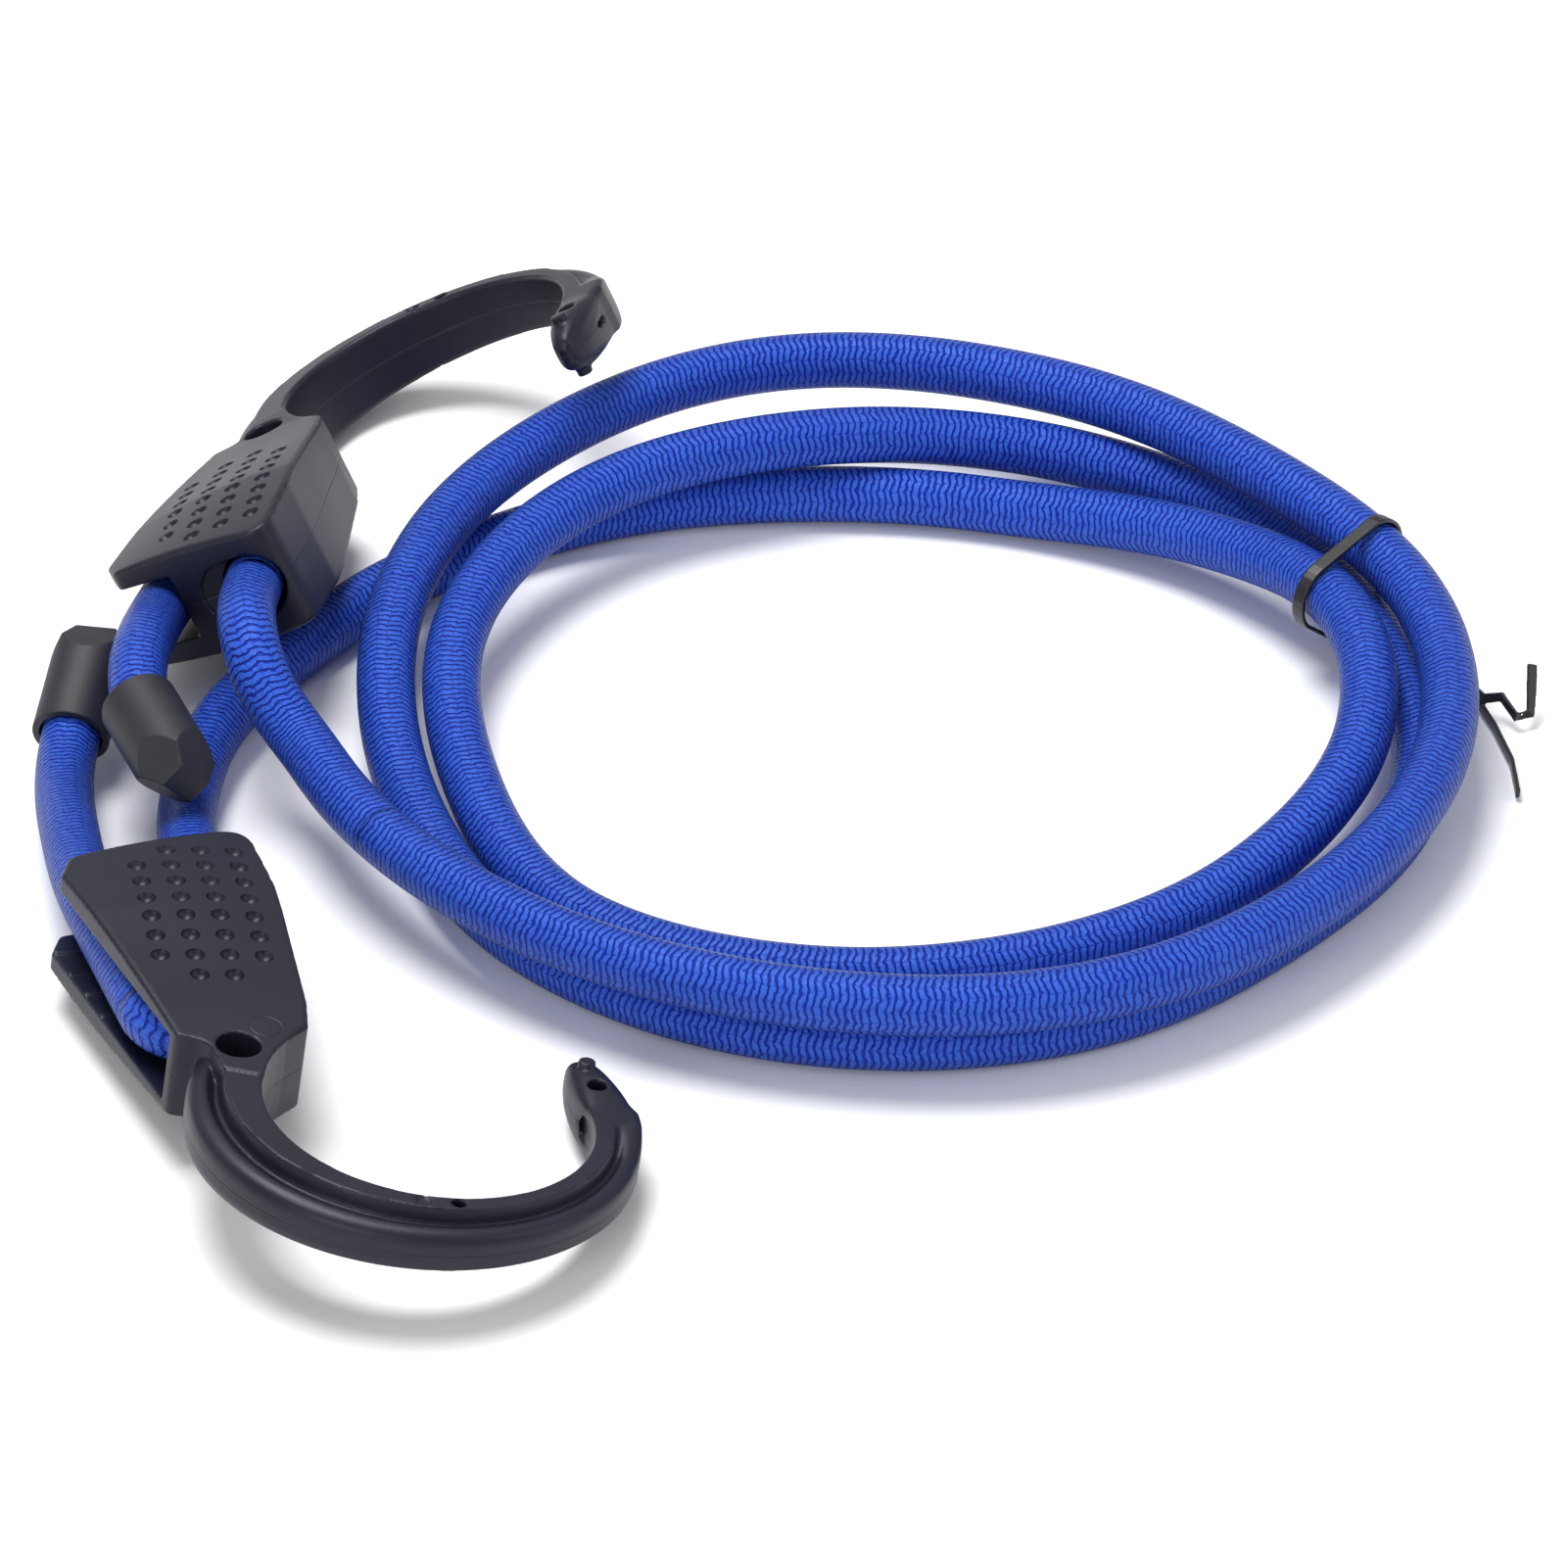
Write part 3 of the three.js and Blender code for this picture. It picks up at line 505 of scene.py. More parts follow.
def ring_line(tree, u, v, middle, radius, half):
    """A groove round a circle on the hook's face."""
    du = mathed(tree, "SUBTRACT", u, float(middle[0]))
    dv = mathed(tree, "SUBTRACT", v, float(middle[1]))
    squares = [mathed(tree, "MULTIPLY", d, d) for d in (du, dv)]
    return fine_line(tree, mathed(tree, "SQRT", mathed(tree, "ADD", *squares)), radius, half)


def moulded_polypropylene():
    """Black polypropylene from an eroded mould: charcoal where light grazes it, with a fine matt grain
    and a low satin sheen."""
    material, tree, shader = new_material("moulded_black_polypropylene", PLASTIC_ROUGHNESS, ior=1.49,
                                          specular=0.42, tint="#eeefff")
    place = object_place(tree)
    grain = noise(tree, place, scale=2600.0, detail=3.0)
    cloud = noise(tree, place, scale=45.0, detail=3.0)
    tree.links.new(ramp(tree, cloud, [(0.3, "#11111c"), (0.7, "#181826")]), shader.inputs["Base Color"])
    rough = node(tree, "ShaderNodeMapRange", Value=cloud, To_Min=PLASTIC_ROUGHNESS - CLOUD_POLISH,
                 To_Max=PLASTIC_ROUGHNESS + CLOUD_HAZE).outputs[0]
    tree.links.new(rough, shader.inputs["Roughness"])
    on_hook = node(tree, "ShaderNodeAttribute", {"attribute_name": "on_hook"}).outputs["Vector"]
    split = node(tree, "ShaderNodeSeparateXYZ", i0=on_hook)
    u, v, w = (split.outputs[k] for k in ("X", "Y", "Z"))
    parting = fine_line(tree, w, 0, PARTING_LINE)
    ejector = ring_line(tree, u, v, EJECTOR_MARK, EJECTOR_RADIUS, EJECTOR_LINE)
    marks = mathed(tree, "MULTIPLY", parting, ejector)
    relief = mathed(tree, "MULTIPLY_ADD", marks, MARK_RELIEF, grain)
    bumped(tree, shader, relief, strength=0.4, depth=0.07)
    return material


def soft_rubber():
    """Matt black moulded rubber of the end caps, with the slight bloom that handling leaves."""
    material, tree, shader = new_material("moulded_soft_rubber", roughness=0.58, ior=1.52)
    bloom = noise(tree, object_place(tree), scale=220.0, detail=4.0)
    tree.links.new(ramp(tree, bloom, [(0.3, "#12121b"), (0.75, "#1a1a26")]), shader.inputs["Base Color"])
    bumped(tree, shader, bloom, strength=0.3, depth=0.05)
    return material


def coated_wire():
    """Satin black vinyl pressed over a thin wire, slightly wavy where fingers twisted it."""
    material, tree, shader = new_material("vinyl_coated_tie", roughness=0.4, ior=1.53)
    wave = noise(tree, object_place(tree), scale=420.0, detail=2.0)
    tree.links.new(ramp(tree, wave, [(0.3, "#0c0c11"), (0.8, "#15151b")]), shader.inputs["Base Color"])
    bumped(tree, shader, wave, strength=0.4, depth=0.12)
    return material


def strip_steel():
    """Cold-rolled steel strip, brushed along its length by the rolls."""
    material, tree, shader = new_material("cold_rolled_steel", roughness=0.38, metallic=1.0)
    long = node(tree, "ShaderNodeMapping", Vector=object_place(tree), Scale=(300.0, 300.0, 2500.0)).outputs[0]
    lines = noise(tree, long, scale=1.0, detail=2.0)
    tree.links.new(ramp(tree, lines, [(0.2, "#8d9094"), (0.8, "#b8bbc0")]), shader.inputs["Base Color"])
    return material


SHEATH_FINISH = braided_polyester()
HOOK_FINISH = moulded_polypropylene()
CAP_FINISH = soft_rubber()
TIE_FINISH = coated_wire()
CORE_FINISH = strip_steel()


def dress(piece, material, slot, body, *nodes):
    piece.data.materials.clear()
    piece.data.materials.append(material)
    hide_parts(*nodes)
    if body:
        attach(piece, body)
    return piece


def cord_piece(name, first, last, body, *nodes):
    return dress(sheath(name, first, last), SHEATH_FINISH, "braided_cord", body, *nodes)


far_clamp_cord = cord_piece("far_clamp_cord", 0, far_mouth, "far_hook", "far_loop", "far_tail")
far_leg_cord = cord_piece("far_leg_cord", far_mouth, coil_begin, None, "far_leg")
coil_cord = cord_piece("coil_cord", coil_begin, coil_finish, "coil", "rope_coil")
near_leg_cord = cord_piece("near_leg_cord", coil_finish, near_turned, None, "near_leg", "near_loop")
near_tail_cord = cord_piece("near_tail_cord", near_turned, last_ring, None, "near_tail")
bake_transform(far_leg_cord)
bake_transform(near_leg_cord)
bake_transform(near_tail_cord)


# Moulded pieces are built whole, skinned and softened, so that their edges are as round as a mould
# leaves them
def skinned(piece, voxel, rounds):
    skin = piece.modifiers.new("skin", "REMESH")
    skin.mode = "VOXEL"
    skin.voxel_size = voxel
    soften = piece.modifiers.new("soften", "SMOOTH")
    soften.factor = 0.5
    soften.iterations = rounds


def shown_mesh(piece):
    """A piece's mesh as its modifiers leave it."""
    shown = piece.evaluated_get(bpy.context.evaluated_depsgraph_get())
    return bpy.data.meshes.new_from_object(shown)


def shell(loops):
    """A closed mesh through rings of equal count, filled at both ends, as points and faces."""
    count = len(loops[0])
    points = [p for ring in loops for p in ring]
    faces = []
    for i in range(len(loops) - 1):
        for k in range(count):
            n = (k + 1) % count
            faces.append((i * count + k, i * count + n, (i + 1) * count + n, (i + 1) * count + k))
    faces.append(tuple(range(count))[::-1])
    faces.append(tuple(range((len(loops) - 1) * count, len(loops) * count)))
    return points, faces


def body_of(name, shells):
    """One object from closed shells that lie apart, its faces turned outwards."""
    bm = bmesh.new()
    for points, faces in shells:
        verts = [bm.verts.new(p) for p in points]
        made = [bm.faces.new([verts[i] for i in face]) for face in faces]
        bmesh.ops.recalc_face_normals(bm, faces=made)
    bmesh.ops.triangulate(bm, faces=bm.faces)
    mesh = bpy.data.meshes.new(name)
    bm.to_mesh(mesh)
    bm.free()
    return new_object(name, mesh)


def cut_or_join(body, other, operation):
    step = body.modifiers.new(other.name, "BOOLEAN")
    step.operation = operation
    step.solver = "MANIFOLD"
    step.object = other


# Hook moulding, in the hook's own millimetres: u from the open slot to the shoulder, v from the mouth
# to the J, w across. It is made once and set down twice. OVERLAP is how far a cutting or joining shape
# reaches past the face that it works on.
OVERLAP = 1
SLOT_SIDE = 20.7
SHOULDER_SIDE = 12
WAIST_REACH = 34
CROWN_HALF = 10.7
MOUTH_HALF = 9.2
WAIST_HALF = 7.2
CROWN_DROP = 2.2
CROWN_STEP = 0.4
MOUTH_DROP_SHARE = 0.5
CLAMP_CORNERS = [(-1, -0.42), (-0.9, -0.61), (0.91, -0.96), (1.05, -0.3), (1.05, 0.7), (0.99, 0.89)]
CLAMP_ROUNDS = [2.2, 2, 4.5, 20, 9, 1.6]
THROAT_BEARINGS = (-40, -34, -28, -22, -14)
BACK_CORNERS = [(-0.21, 1.02), (-0.44, 0.98)]
BACK_ROUNDS = [5, 1.6]
CORNER_STEPS = 10
EDGE_ROUND = 0.8
EDGE_ROUND_FADE = 3
CHANNEL_RADIUS = 5.3
CHANNEL_SIDES = 32
MOUTH_FLARE = 0.9
MOUTH_FLARE_DEPTH = 7
MOUTH_FLARE_OUT = 0.6
MOUTH_WIDEN = 4
SLOT_HALF = 5.7
SLOT_END = 31
SLOT_END_ROUND = 5
PIN_SIDES = 28
WAIST_HOLE = (0.1, 35.9)
WAIST_HOLE_RADIUS = 3.5
TOOTH_COUNT = 4
TOOTH_PITCH = 6.2
TOOTH_FIRST = -12
TOOTH_HEIGHT = 0.6
TOOTH_RUN = 2.4
TOOTH_INSET = 0.4
HOOK_VOXEL = 0.29
HOOK_SOFTENING = 2
HOOK_KEPT = 0.36
HOOK_SHARP_ANGLE = 38

# Dimples, their rows counted from the mouth: first and last row of each column
DIMPLE_RADIUS = 1.55
DIMPLE_DEPTH = 0.7
DIMPLE_SIDES = 24
DIMPLE_FLARE = 1.08
PIT_RADIUS = 1.05
PIT_DEPTH = 1.05
PIT_TAPER = 0.3
DIMPLE_COLUMN_PITCH = 5.46
DIMPLE_ROW_PITCH = 5.16
DIMPLE_MIDDLE = -0.6
DIMPLE_MIDDLE_ROW = 4.5
DIMPLE_ROWS = [(2, 7), (1, 8), (1, 8), (1, 7)]
DIMPLE_SIZES = {"Dimple radius": DIMPLE_RADIUS, "Dimple depth": DIMPLE_DEPTH,
                "Pit radius": PIT_RADIUS, "Pit depth": PIT_DEPTH}
CUTTER_RINGS = 4

# J: a bowl by bearings round its centre, then the tip by its share of TIP_RISE. Places on it are
# pairs of the bearing or share along and the share across.
BOWL_RADIUS = 25.5
BOWL_CENTRE = (27.5, 50.5)
BOWL_WIDTH = 9.4
BOWL_SHIFT = (-1.8, -1.3)
BOWL_START = -34
BOWL_END = 180
BOWL_STEPS = 110
BOWL_PIN = (90, 0.22)
BOWL_PIN_RADIUS = 1.1
RECESS = (79, 0.2)
RECESS_RADIUS = 1.3
RECESS_DEPTH = 0.5
RIBS_END = 160
RIBS_GONE = 174
HOOK_HALF = 7.1
TIP_HALF = 4.4
TIP_RISE = 18.3
TIP_LEAN = (1.6, 4)
TIP_STEPS = 26
TIP_BULGE = 0.12
TIP_BULGE_START = 0.15
TIP_BULGE_RUN = 0.7
TIP_SQUARENESS = 2.8
TIP_ROUNDING_RATE = 1.6
NOSE_START = 0.6
NOSE_SIZE = 0.26
NOSE_POWER = 2.4
TIP_HOLE = (0.42, 0.45)
TIP_HOLE_RADIUS = 1.5
PEG = (0.72, 0.48)
PEG_RADIUS = 1.35
PEG_REACH = 1.3
TIP_SLOT_SHARES = (0.25, 0.45)
TIP_SLOT_DEPTH = 0.7
TIP_SLOT_HALF = 0.5
POCKET_SHARE = 0.1
POCKET_SIZE = (0.5, 4.6, 2.3)
POCKET_STEPS = 16
POCKET_SIDES = 20

# The J's section by shares across it, and its levels as shares of its half thickness
FLANGE = (0.56, 0.43)
FLANGE_SETTLED = 0.5
INNER_ROUND = 0.05
INNER_ROUND_PLACES = (0, 0.008, 0.02, 0.035)
OUTER_ROUND = 0.2
ROUND_LEVEL = 0.86
GROOVE_WIDTH = 0.12
GROOVE_WALL = 0.45
GROOVE_LEVEL = 0.5
BEAD_RISE = 0.13
BEAD_RISE_END = 0.3
BEAD_FALL = 0.36
BEAD_FALL_START = 0.35
SECTION_STEPS = 40


def bowl_edges(bearing):
    turn = Vector((-math.cos(math.radians(bearing)), math.sin(math.radians(bearing))))
    inner = Vector(BOWL_CENTRE) + turn * BOWL_RADIUS
    return inner, inner + turn * BOWL_WIDTH + Vector(BOWL_SHIFT)


def tip_edges(share):
    inner, outer = bowl_edges(BOWL_END)
    return inner - Vector((TIP_LEAN[0], TIP_RISE)) * share, outer - Vector((TIP_LEAN[1], TIP_RISE)) * share


def place_between(edges, across):
    inner, outer = edges
    return inner.lerp(outer, across)


def rounded_outline(corners, rounds):
    made = []
    count = len(corners)
    for i, corner in enumerate(corners):
        back, ahead = corners[i - 1] - corner, corners[(i + 1) % count] - corner
        half = back.angle(ahead) / 2
        cut = min(rounds[i] / math.tan(half), back.length / 2, ahead.length / 2)
        if cut <= 0:
            made.append(corner.copy())
            continue
        enter, leave = corner + back.normalized() * cut, corner + ahead.normalized() * cut
        for k in range(CORNER_STEPS + 1):
            x = k / CORNER_STEPS
            made.append(enter * (1 - x) ** 2 + corner * 2 * x * (1 - x) + leave * x ** 2)
    return made


def prism(outline, half):
    return shell([[Vector((p.x, p.y, w)) for p in outline] for w in (-half, half)])


def pin(place, radius, half):
    return shell([[Vector((place[0] + radius * math.cos(a), place[1] + radius * math.sin(a), w))
                   for a in turns_of(PIN_SIDES)] for w in (-half, half)])


def quarter_round(x):
    """Height of a quarter circle: 1 at nought, falling to 0 at one."""
    return max(0, 1 - x ** 2) ** 0.5


def j_half(f, flange, ribbed, rounded):
    """Share of the J's thickness at a share across it: flat flange, groove, round bead. Towards the
    tip the section rounds off."""
    if rounded:
        round_off = max(0, 1 - abs(2 * f - 1) ** TIP_SQUARENESS) ** (1 / TIP_SQUARENESS)
        return lerp(j_half(f, flange, ribbed, 0), round_off, rounded)
    if f < INNER_ROUND:
        return lerp(ROUND_LEVEL, 1, (f / INNER_ROUND) ** 0.5)
    if f <= flange:
        return 1
    outer_start = 1 - OUTER_ROUND
    plain = 1 if f < outer_start else lerp(ROUND_LEVEL, 1, quarter_round((f - outer_start) / OUTER_ROUND))
    bead_start = flange + GROOVE_WIDTH
    if f < bead_start:
        drop = (f - flange) / (bead_start - flange)
        shaped = 1 - (1 - GROOVE_LEVEL) * (1 - (1 - min(1, drop / GROOVE_WALL)) ** 2)
    else:
        x = (f - bead_start) / (1 - bead_start)
        rise = BEAD_RISE * math.sin(min(1, x / BEAD_RISE_END) * math.pi / 2)
        past = max(0, x - BEAD_FALL_START) / (1 - BEAD_FALL_START)
        shaped = GROOVE_LEVEL + rise - BEAD_FALL * (1 - quarter_round(past))
    return lerp(plain, shaped, ribbed)


def j_stations():
    """Along the J: inner edge, outer edge, half thickness, flange share, size, ribbing, rounding."""
    stations = []
    for i in range(BOWL_STEPS + 1):
        share = i / BOWL_STEPS
        bearing = lerp(BOWL_START, BOWL_END, share)
        flange = lerp(FLANGE[0], FLANGE[1], min(1, share / FLANGE_SETTLED))
        ribbed = min(1, max(0, (RIBS_GONE - bearing) / (RIBS_GONE - RIBS_END)))
        stations.append((*bowl_edges(bearing), lerp(HOOK_HALF, TIP_HALF, share), flange, 1, ribbed, 0))
    for i in range(1, TIP_STEPS + 1):
        share = i / TIP_STEPS
        along_bulge = min(1, max(0, share - TIP_BULGE_START) / TIP_BULGE_RUN)
        swell = 1 + TIP_BULGE * math.sin(math.pi * along_bulge)
        along_nose = max(0, (share - NOSE_START) / (1 - NOSE_START))
        size = swell * lerp(NOSE_SIZE, 1, (1 - along_nose ** NOSE_POWER) ** 0.5)
        rounded = min(1, TIP_ROUNDING_RATE * share)
        stations.append((*tip_edges(share), TIP_HALF, FLANGE[1], size, 0, rounded))
    return stations


def j_shell():
    places = [*INNER_ROUND_PLACES]
    places += [INNER_ROUND + (1 - INNER_ROUND) * k / SECTION_STEPS for k in range(SECTION_STEPS + 1)]
    made = []
    for inner, outer, half, flange, size, ribbed, rounded in j_stations():
        middle = inner.lerp(outer, 0.5)
        ring = []
        for sign, order in ((-1, places), (1, places[::-1])):
            for f in order:
                flat = middle + (inner.lerp(outer, f) - middle) * size
                ring.append(Vector((flat.x, flat.y, sign * half * size * j_half(f, flange, ribbed, rounded))))
        made.append(ring)
    return shell(made)


def clamp_outline():
    def scaled(corner):
        u, v = corner
        along, across = MOUTH_REACH if v < 0 else WAIST_REACH, SLOT_SIDE if u < 0 else SHOULDER_SIDE
        return Vector((u * across, v * along))

    corners = [scaled(c) for c in CLAMP_CORNERS]
    corners += [bowl_edges(b)[0] for b in THROAT_BEARINGS]
    corners.append(place_between(bowl_edges(THROAT_BEARINGS[-1]), FLANGE[0]))
    corners += [scaled(c) for c in BACK_CORNERS]
    rounds = [*CLAMP_ROUNDS, *[0] * (len(THROAT_BEARINGS) + 1), *BACK_ROUNDS]
    return rounded_outline(corners, rounds)


def face_half(u, v):
    """Half the clamp's thickness at a point of its face."""
    to_mouth = min(1, max(0, -v / MOUTH_REACH))
    to_waist = min(1, max(0, v / WAIST_REACH))
    waist_drop = (CROWN_HALF - WAIST_HALF) * to_waist
    side_drop = CROWN_DROP * (u / SLOT_SIDE) ** 2 * (1 - to_waist) * lerp(1, MOUTH_DROP_SHARE, to_mouth)
    return CROWN_HALF - (CROWN_HALF - MOUTH_HALF) * to_mouth ** 2 - waist_drop - side_drop


def edge_distance(points, outline):
    """Distance of each point from the outline's nearest side."""
    tiny = 1e-12
    best = np.full(len(points), np.inf)
    for a, b in zip(outline, outline[1:] + outline[:1]):
        start, run = np.array(a), np.array(b) - np.array(a)
        length = max(run @ run, tiny)
        share = np.clip((points - start) @ run / length, 0, 1)
        best = np.minimum(best, np.linalg.norm(points - start - share[:, None] * run, axis=1))
    return best


def crown_shell(outline):
    """The clamp's two crowned faces, rolled off to the outline, as one box that the outline then trims."""
    low = [min(p[i] for p in outline) - OVERLAP for i in (0, 1)]
    high = [max(p[i] for p in outline) + OVERLAP for i in (0, 1)]
    us, vs = (np.linspace(a, b, math.ceil((b - a) / CROWN_STEP) + 1) for a, b in zip(low, high))
    grid = np.array([(u, v) for u in us for v in vs])
    near = np.clip(EDGE_ROUND - edge_distance(grid, outline), 0, EDGE_ROUND)
    roll = EDGE_ROUND - np.sqrt(EDGE_ROUND ** 2 - near ** 2)
    # The roll stops where the clamp runs on into the J
    kept = np.clip((grid[:, 1] - WAIST_REACH + EDGE_ROUND_FADE) / EDGE_ROUND_FADE, 0, 1)
    halves = [face_half(u, v) for u, v in grid] - roll * (1 - kept)
    points = [Vector((u, v, side * h)) for side in (-1, 1) for (u, v), h in zip(grid, halves)]
    columns, rows, count = len(us), len(vs), len(grid)
    faces = []
    for i in range(columns - 1):
        for k in range(rows - 1):
            a, b, c, d = i * rows + k, (i + 1) * rows + k, (i + 1) * rows + k + 1, i * rows + k + 1
            faces += [(d, c, b, a), (a + count, b + count, c + count, d + count)]
    rim = [i * rows for i in range(columns)]
    rim += [(columns - 1) * rows + k for k in range(1, rows)]
    rim += [i * rows + rows - 1 for i in range(columns - 2, -1, -1)]
    rim += list(range(rows - 2, 0, -1))
    for a, b in zip(rim, rim[1:] + rim[:1]):
        faces.append((a, b, b + count, a + count))
    return points, faces


def channel_shell():
    """The cord's channel: in at the mouth, round the bend and down the open slot."""
    line = [Vector((MOUTH_OFFSET, -MOUTH_REACH - OVERLAP, 0)), *bend_line(), tail_point(MOUTH_REACH)]
    across = Vector((0, 0, 1))
    loops = []
    for p, heading in zip(line, headings_of(line)):
        out = heading.cross(across)
        loops.append([p + CHANNEL_RADIUS * (math.cos(a) * out + math.sin(a) * across)
                      for a in turns_of(CHANNEL_SIDES)])
    return shell(loops)


def slot_shell():
    """The open slot, from the cord's inner side out past the clamp's edge."""
    away = tail_away()
    inward = Vector((-away.y, away.x, 0)) * CHANNEL_RADIUS
    inner_top, inner_out = bend_line()[-1] + inward, tail_point(2 * MOUTH_REACH) + inward
    past_edge = -SLOT_SIDE - OVERLAP
    corners = [Vector((past_edge, inner_out.y, 0)), inner_out, inner_top,
               Vector((inner_top.x, SLOT_END, 0)), Vector((past_edge, SLOT_END, 0))]
    return prism(rounded_outline(corners, [0, 0, 0, SLOT_END_ROUND, 0]), SLOT_HALF)


def flare_shell():
    """The mouth's funnel, drawn out towards the slot."""
    def ring(v, radius):
        made = []
        for a in turns_of(CHANNEL_SIDES):
            widen = MOUTH_WIDEN if math.cos(a) < 0 else 0
            made.append(Vector((MOUTH_OFFSET + radius * math.cos(a) - widen, v, radius * math.sin(a))))
        return made

    return shell([ring(-MOUTH_REACH - MOUTH_FLARE_OUT, CHANNEL_RADIUS + MOUTH_FLARE),
                  ring(MOUTH_FLARE_DEPTH - MOUTH_REACH, CHANNEL_RADIUS)])


def by_ring(tree, ring, values):
    """The value that belongs to a ring's number."""
    chosen = node(tree, "GeometryNodeIndexSwitch", {"data_type": "FLOAT"})
    while len(chosen.index_switch_items) < len(values):
        chosen.index_switch_items.new()
    tree.links.new(ring, chosen.inputs["Index"])
    for socket, value in zip(list(chosen.inputs)[1:], values):
        feed(tree, socket, value)
    return chosen.outputs[0]


def dimple_tree():
    """Geometry Nodes: on each point a round cutter with a steep rim and a coned bottom, its bottom
    towards the hook's middle. The cutter is a cylinder of four rings, and each ring gets its own
    height and radius."""
    tree = bpy.data.node_groups.new("dimple_cutters", "GeometryNodeTree")
    tree.interface.new_socket("Places", in_out="INPUT", socket_type="NodeSocketGeometry")
    for name in DIMPLE_SIZES:
        tree.interface.new_socket(name, in_out="INPUT", socket_type="NodeSocketFloat")
    tree.interface.new_socket("Cutters", in_out="OUTPUT", socket_type="NodeSocketGeometry")
    given = node(tree, "NodeGroupInput").outputs
    top = (CUTTER_RINGS - 1) / 2
    cylinder = node(tree, "GeometryNodeMeshCylinder", Vertices=DIMPLE_SIDES, Side_Segments=CUTTER_RINGS - 1,
                    Radius=1.0, Depth=2 * top)
    place = node(tree, "ShaderNodeSeparateXYZ", i0=node(tree, "GeometryNodeInputPosition").outputs[0])
    ring = mathed(tree, "ROUND", mathed(tree, "SUBTRACT", top, place.outputs["Z"]))
    flared = mathed(tree, "MULTIPLY", given["Dimple radius"], DIMPLE_FLARE)
    tapered = mathed(tree, "MULTIPLY", given["Pit radius"], PIT_TAPER)
    radius = by_ring(tree, ring, [flared, given["Dimple radius"], given["Pit radius"], tapered])
    sunk = [mathed(tree, "MULTIPLY", given[name], -1.0) for name in ("Dimple depth", "Pit depth")]
    height = by_ring(tree, ring, [float(OVERLAP), 0.0, *sunk])
    shaped = node(tree, "ShaderNodeCombineXYZ", i0=mathed(tree, "MULTIPLY", place.outputs["X"], radius),
                  i1=mathed(tree, "MULTIPLY", place.outputs["Y"], radius), i2=height)
    cutter = node(tree, "GeometryNodeSetPosition", Geometry=cylinder.outputs["Mesh"],
                  Position=shaped.outputs[0])
    below = mathed(tree, "LESS_THAN", place.outputs["Z"], 0.0)
    turned = node(tree, "ShaderNodeCombineXYZ", i0=mathed(tree, "MULTIPLY", below, math.pi))
    spots = node(tree, "GeometryNodeMeshToPoints", Mesh=given["Places"])
    set_down = node(tree, "GeometryNodeInstanceOnPoints", Points=spots.outputs[0], Instance=cutter.outputs[0],
                    Rotation=turned.outputs[0])
    real = node(tree, "GeometryNodeRealizeInstances", Geometry=set_down.outputs[0])
    finished = node(tree, "GeometryNodeSetMaterial", Geometry=real.outputs[0], Material=HOOK_FINISH)
    tree.links.new(finished.outputs[0], node(tree, "NodeGroupOutput").inputs["Cutters"])
    return tree


def dimple_cutters():
    """The grip's dimples on both faces, as one plain mesh to cut with."""
    places = []
    middle = (len(DIMPLE_ROWS) - 1) / 2
    for column, (first, last) in enumerate(DIMPLE_ROWS):
        u = DIMPLE_MIDDLE + (column - middle) * DIMPLE_COLUMN_PITCH
        for row in range(first, last + 1):
            v = (row - DIMPLE_MIDDLE_ROW) * DIMPLE_ROW_PITCH
            places += [(u, v, side * face_half(u, v)) for side in (-1, 1)]
    mesh = bpy.data.meshes.new("dimple_places")
    mesh.from_pydata(places, [], [])
    points = new_object("dimple_places", mesh)
    grid = points.modifiers.new("dimple_cutters", "NODES")
    grid.node_group = dimple_tree()
    for socket in grid.node_group.interface.items_tree:
        if socket.name in DIMPLE_SIZES:
            grid[socket.identifier] = float(DIMPLE_SIZES[socket.name])
    cutters = new_object("dimples", shown_mesh(points))
    bpy.data.objects.remove(points)
    return cutters


def tooth_shells():
    """The ridges across both walls of the slot that bite into the cord."""
    low = Vector((CLAMP_CORNERS[0][0] * SLOT_SIDE, CLAMP_CORNERS[0][1] * MOUTH_REACH))
    high = Vector((BACK_CORNERS[1][0] * SLOT_SIDE, BACK_CORNERS[1][1] * WAIST_REACH))
    base, crest = SLOT_HALF + OVERLAP, SLOT_HALF - TOOTH_HEIGHT
    section = ((-TOOTH_RUN / 2, base), (TOOTH_RUN / 2, base), (0, crest))
    made = []
    for i in range(TOOTH_COUNT):
        v = TOOTH_FIRST + i * TOOTH_PITCH
        edge = low.lerp(high, (v - low.y) / (high.y - low.y)).x + TOOTH_INSET
        stop = tail_point(-v).x - CORD_RADIUS / MM / 2
        for side in (-1, 1):
            made.append(shell([[Vector((u, v + run, side * w)) for run, w in section] for u in (edge, stop)]))
    return made


def tip_pocket():
    """The hollow that the mould's core leaves in the tip's inner wall."""
    middle, _ = tip_edges(POCKET_SHARE)
    across, along, thick = POCKET_SIZE
    loops = []
    for i in range(1, POCKET_STEPS):
        bearing = math.pi * i / POCKET_STEPS
        reach = math.sin(bearing)
        loops.append([Vector((middle.x + across * reach * math.cos(a), middle.y + along * math.cos(bearing),
                              thick * reach * math.sin(a))) for a in turns_of(POCKET_SIDES)])
    return shell(loops)


def tip_slot():
    """The short slot that a mould insert leaves in the outer wall of the tip."""
    top, bottom = (tip_edges(share)[1] for share in TIP_SLOT_SHARES)
    corners = [(top.x - TIP_SLOT_DEPTH, top.y), (top.x + OVERLAP, top.y),
               (bottom.x + OVERLAP, bottom.y), (bottom.x - TIP_SLOT_DEPTH, bottom.y)]
    return prism([Vector(c) for c in corners], TIP_SLOT_HALF)


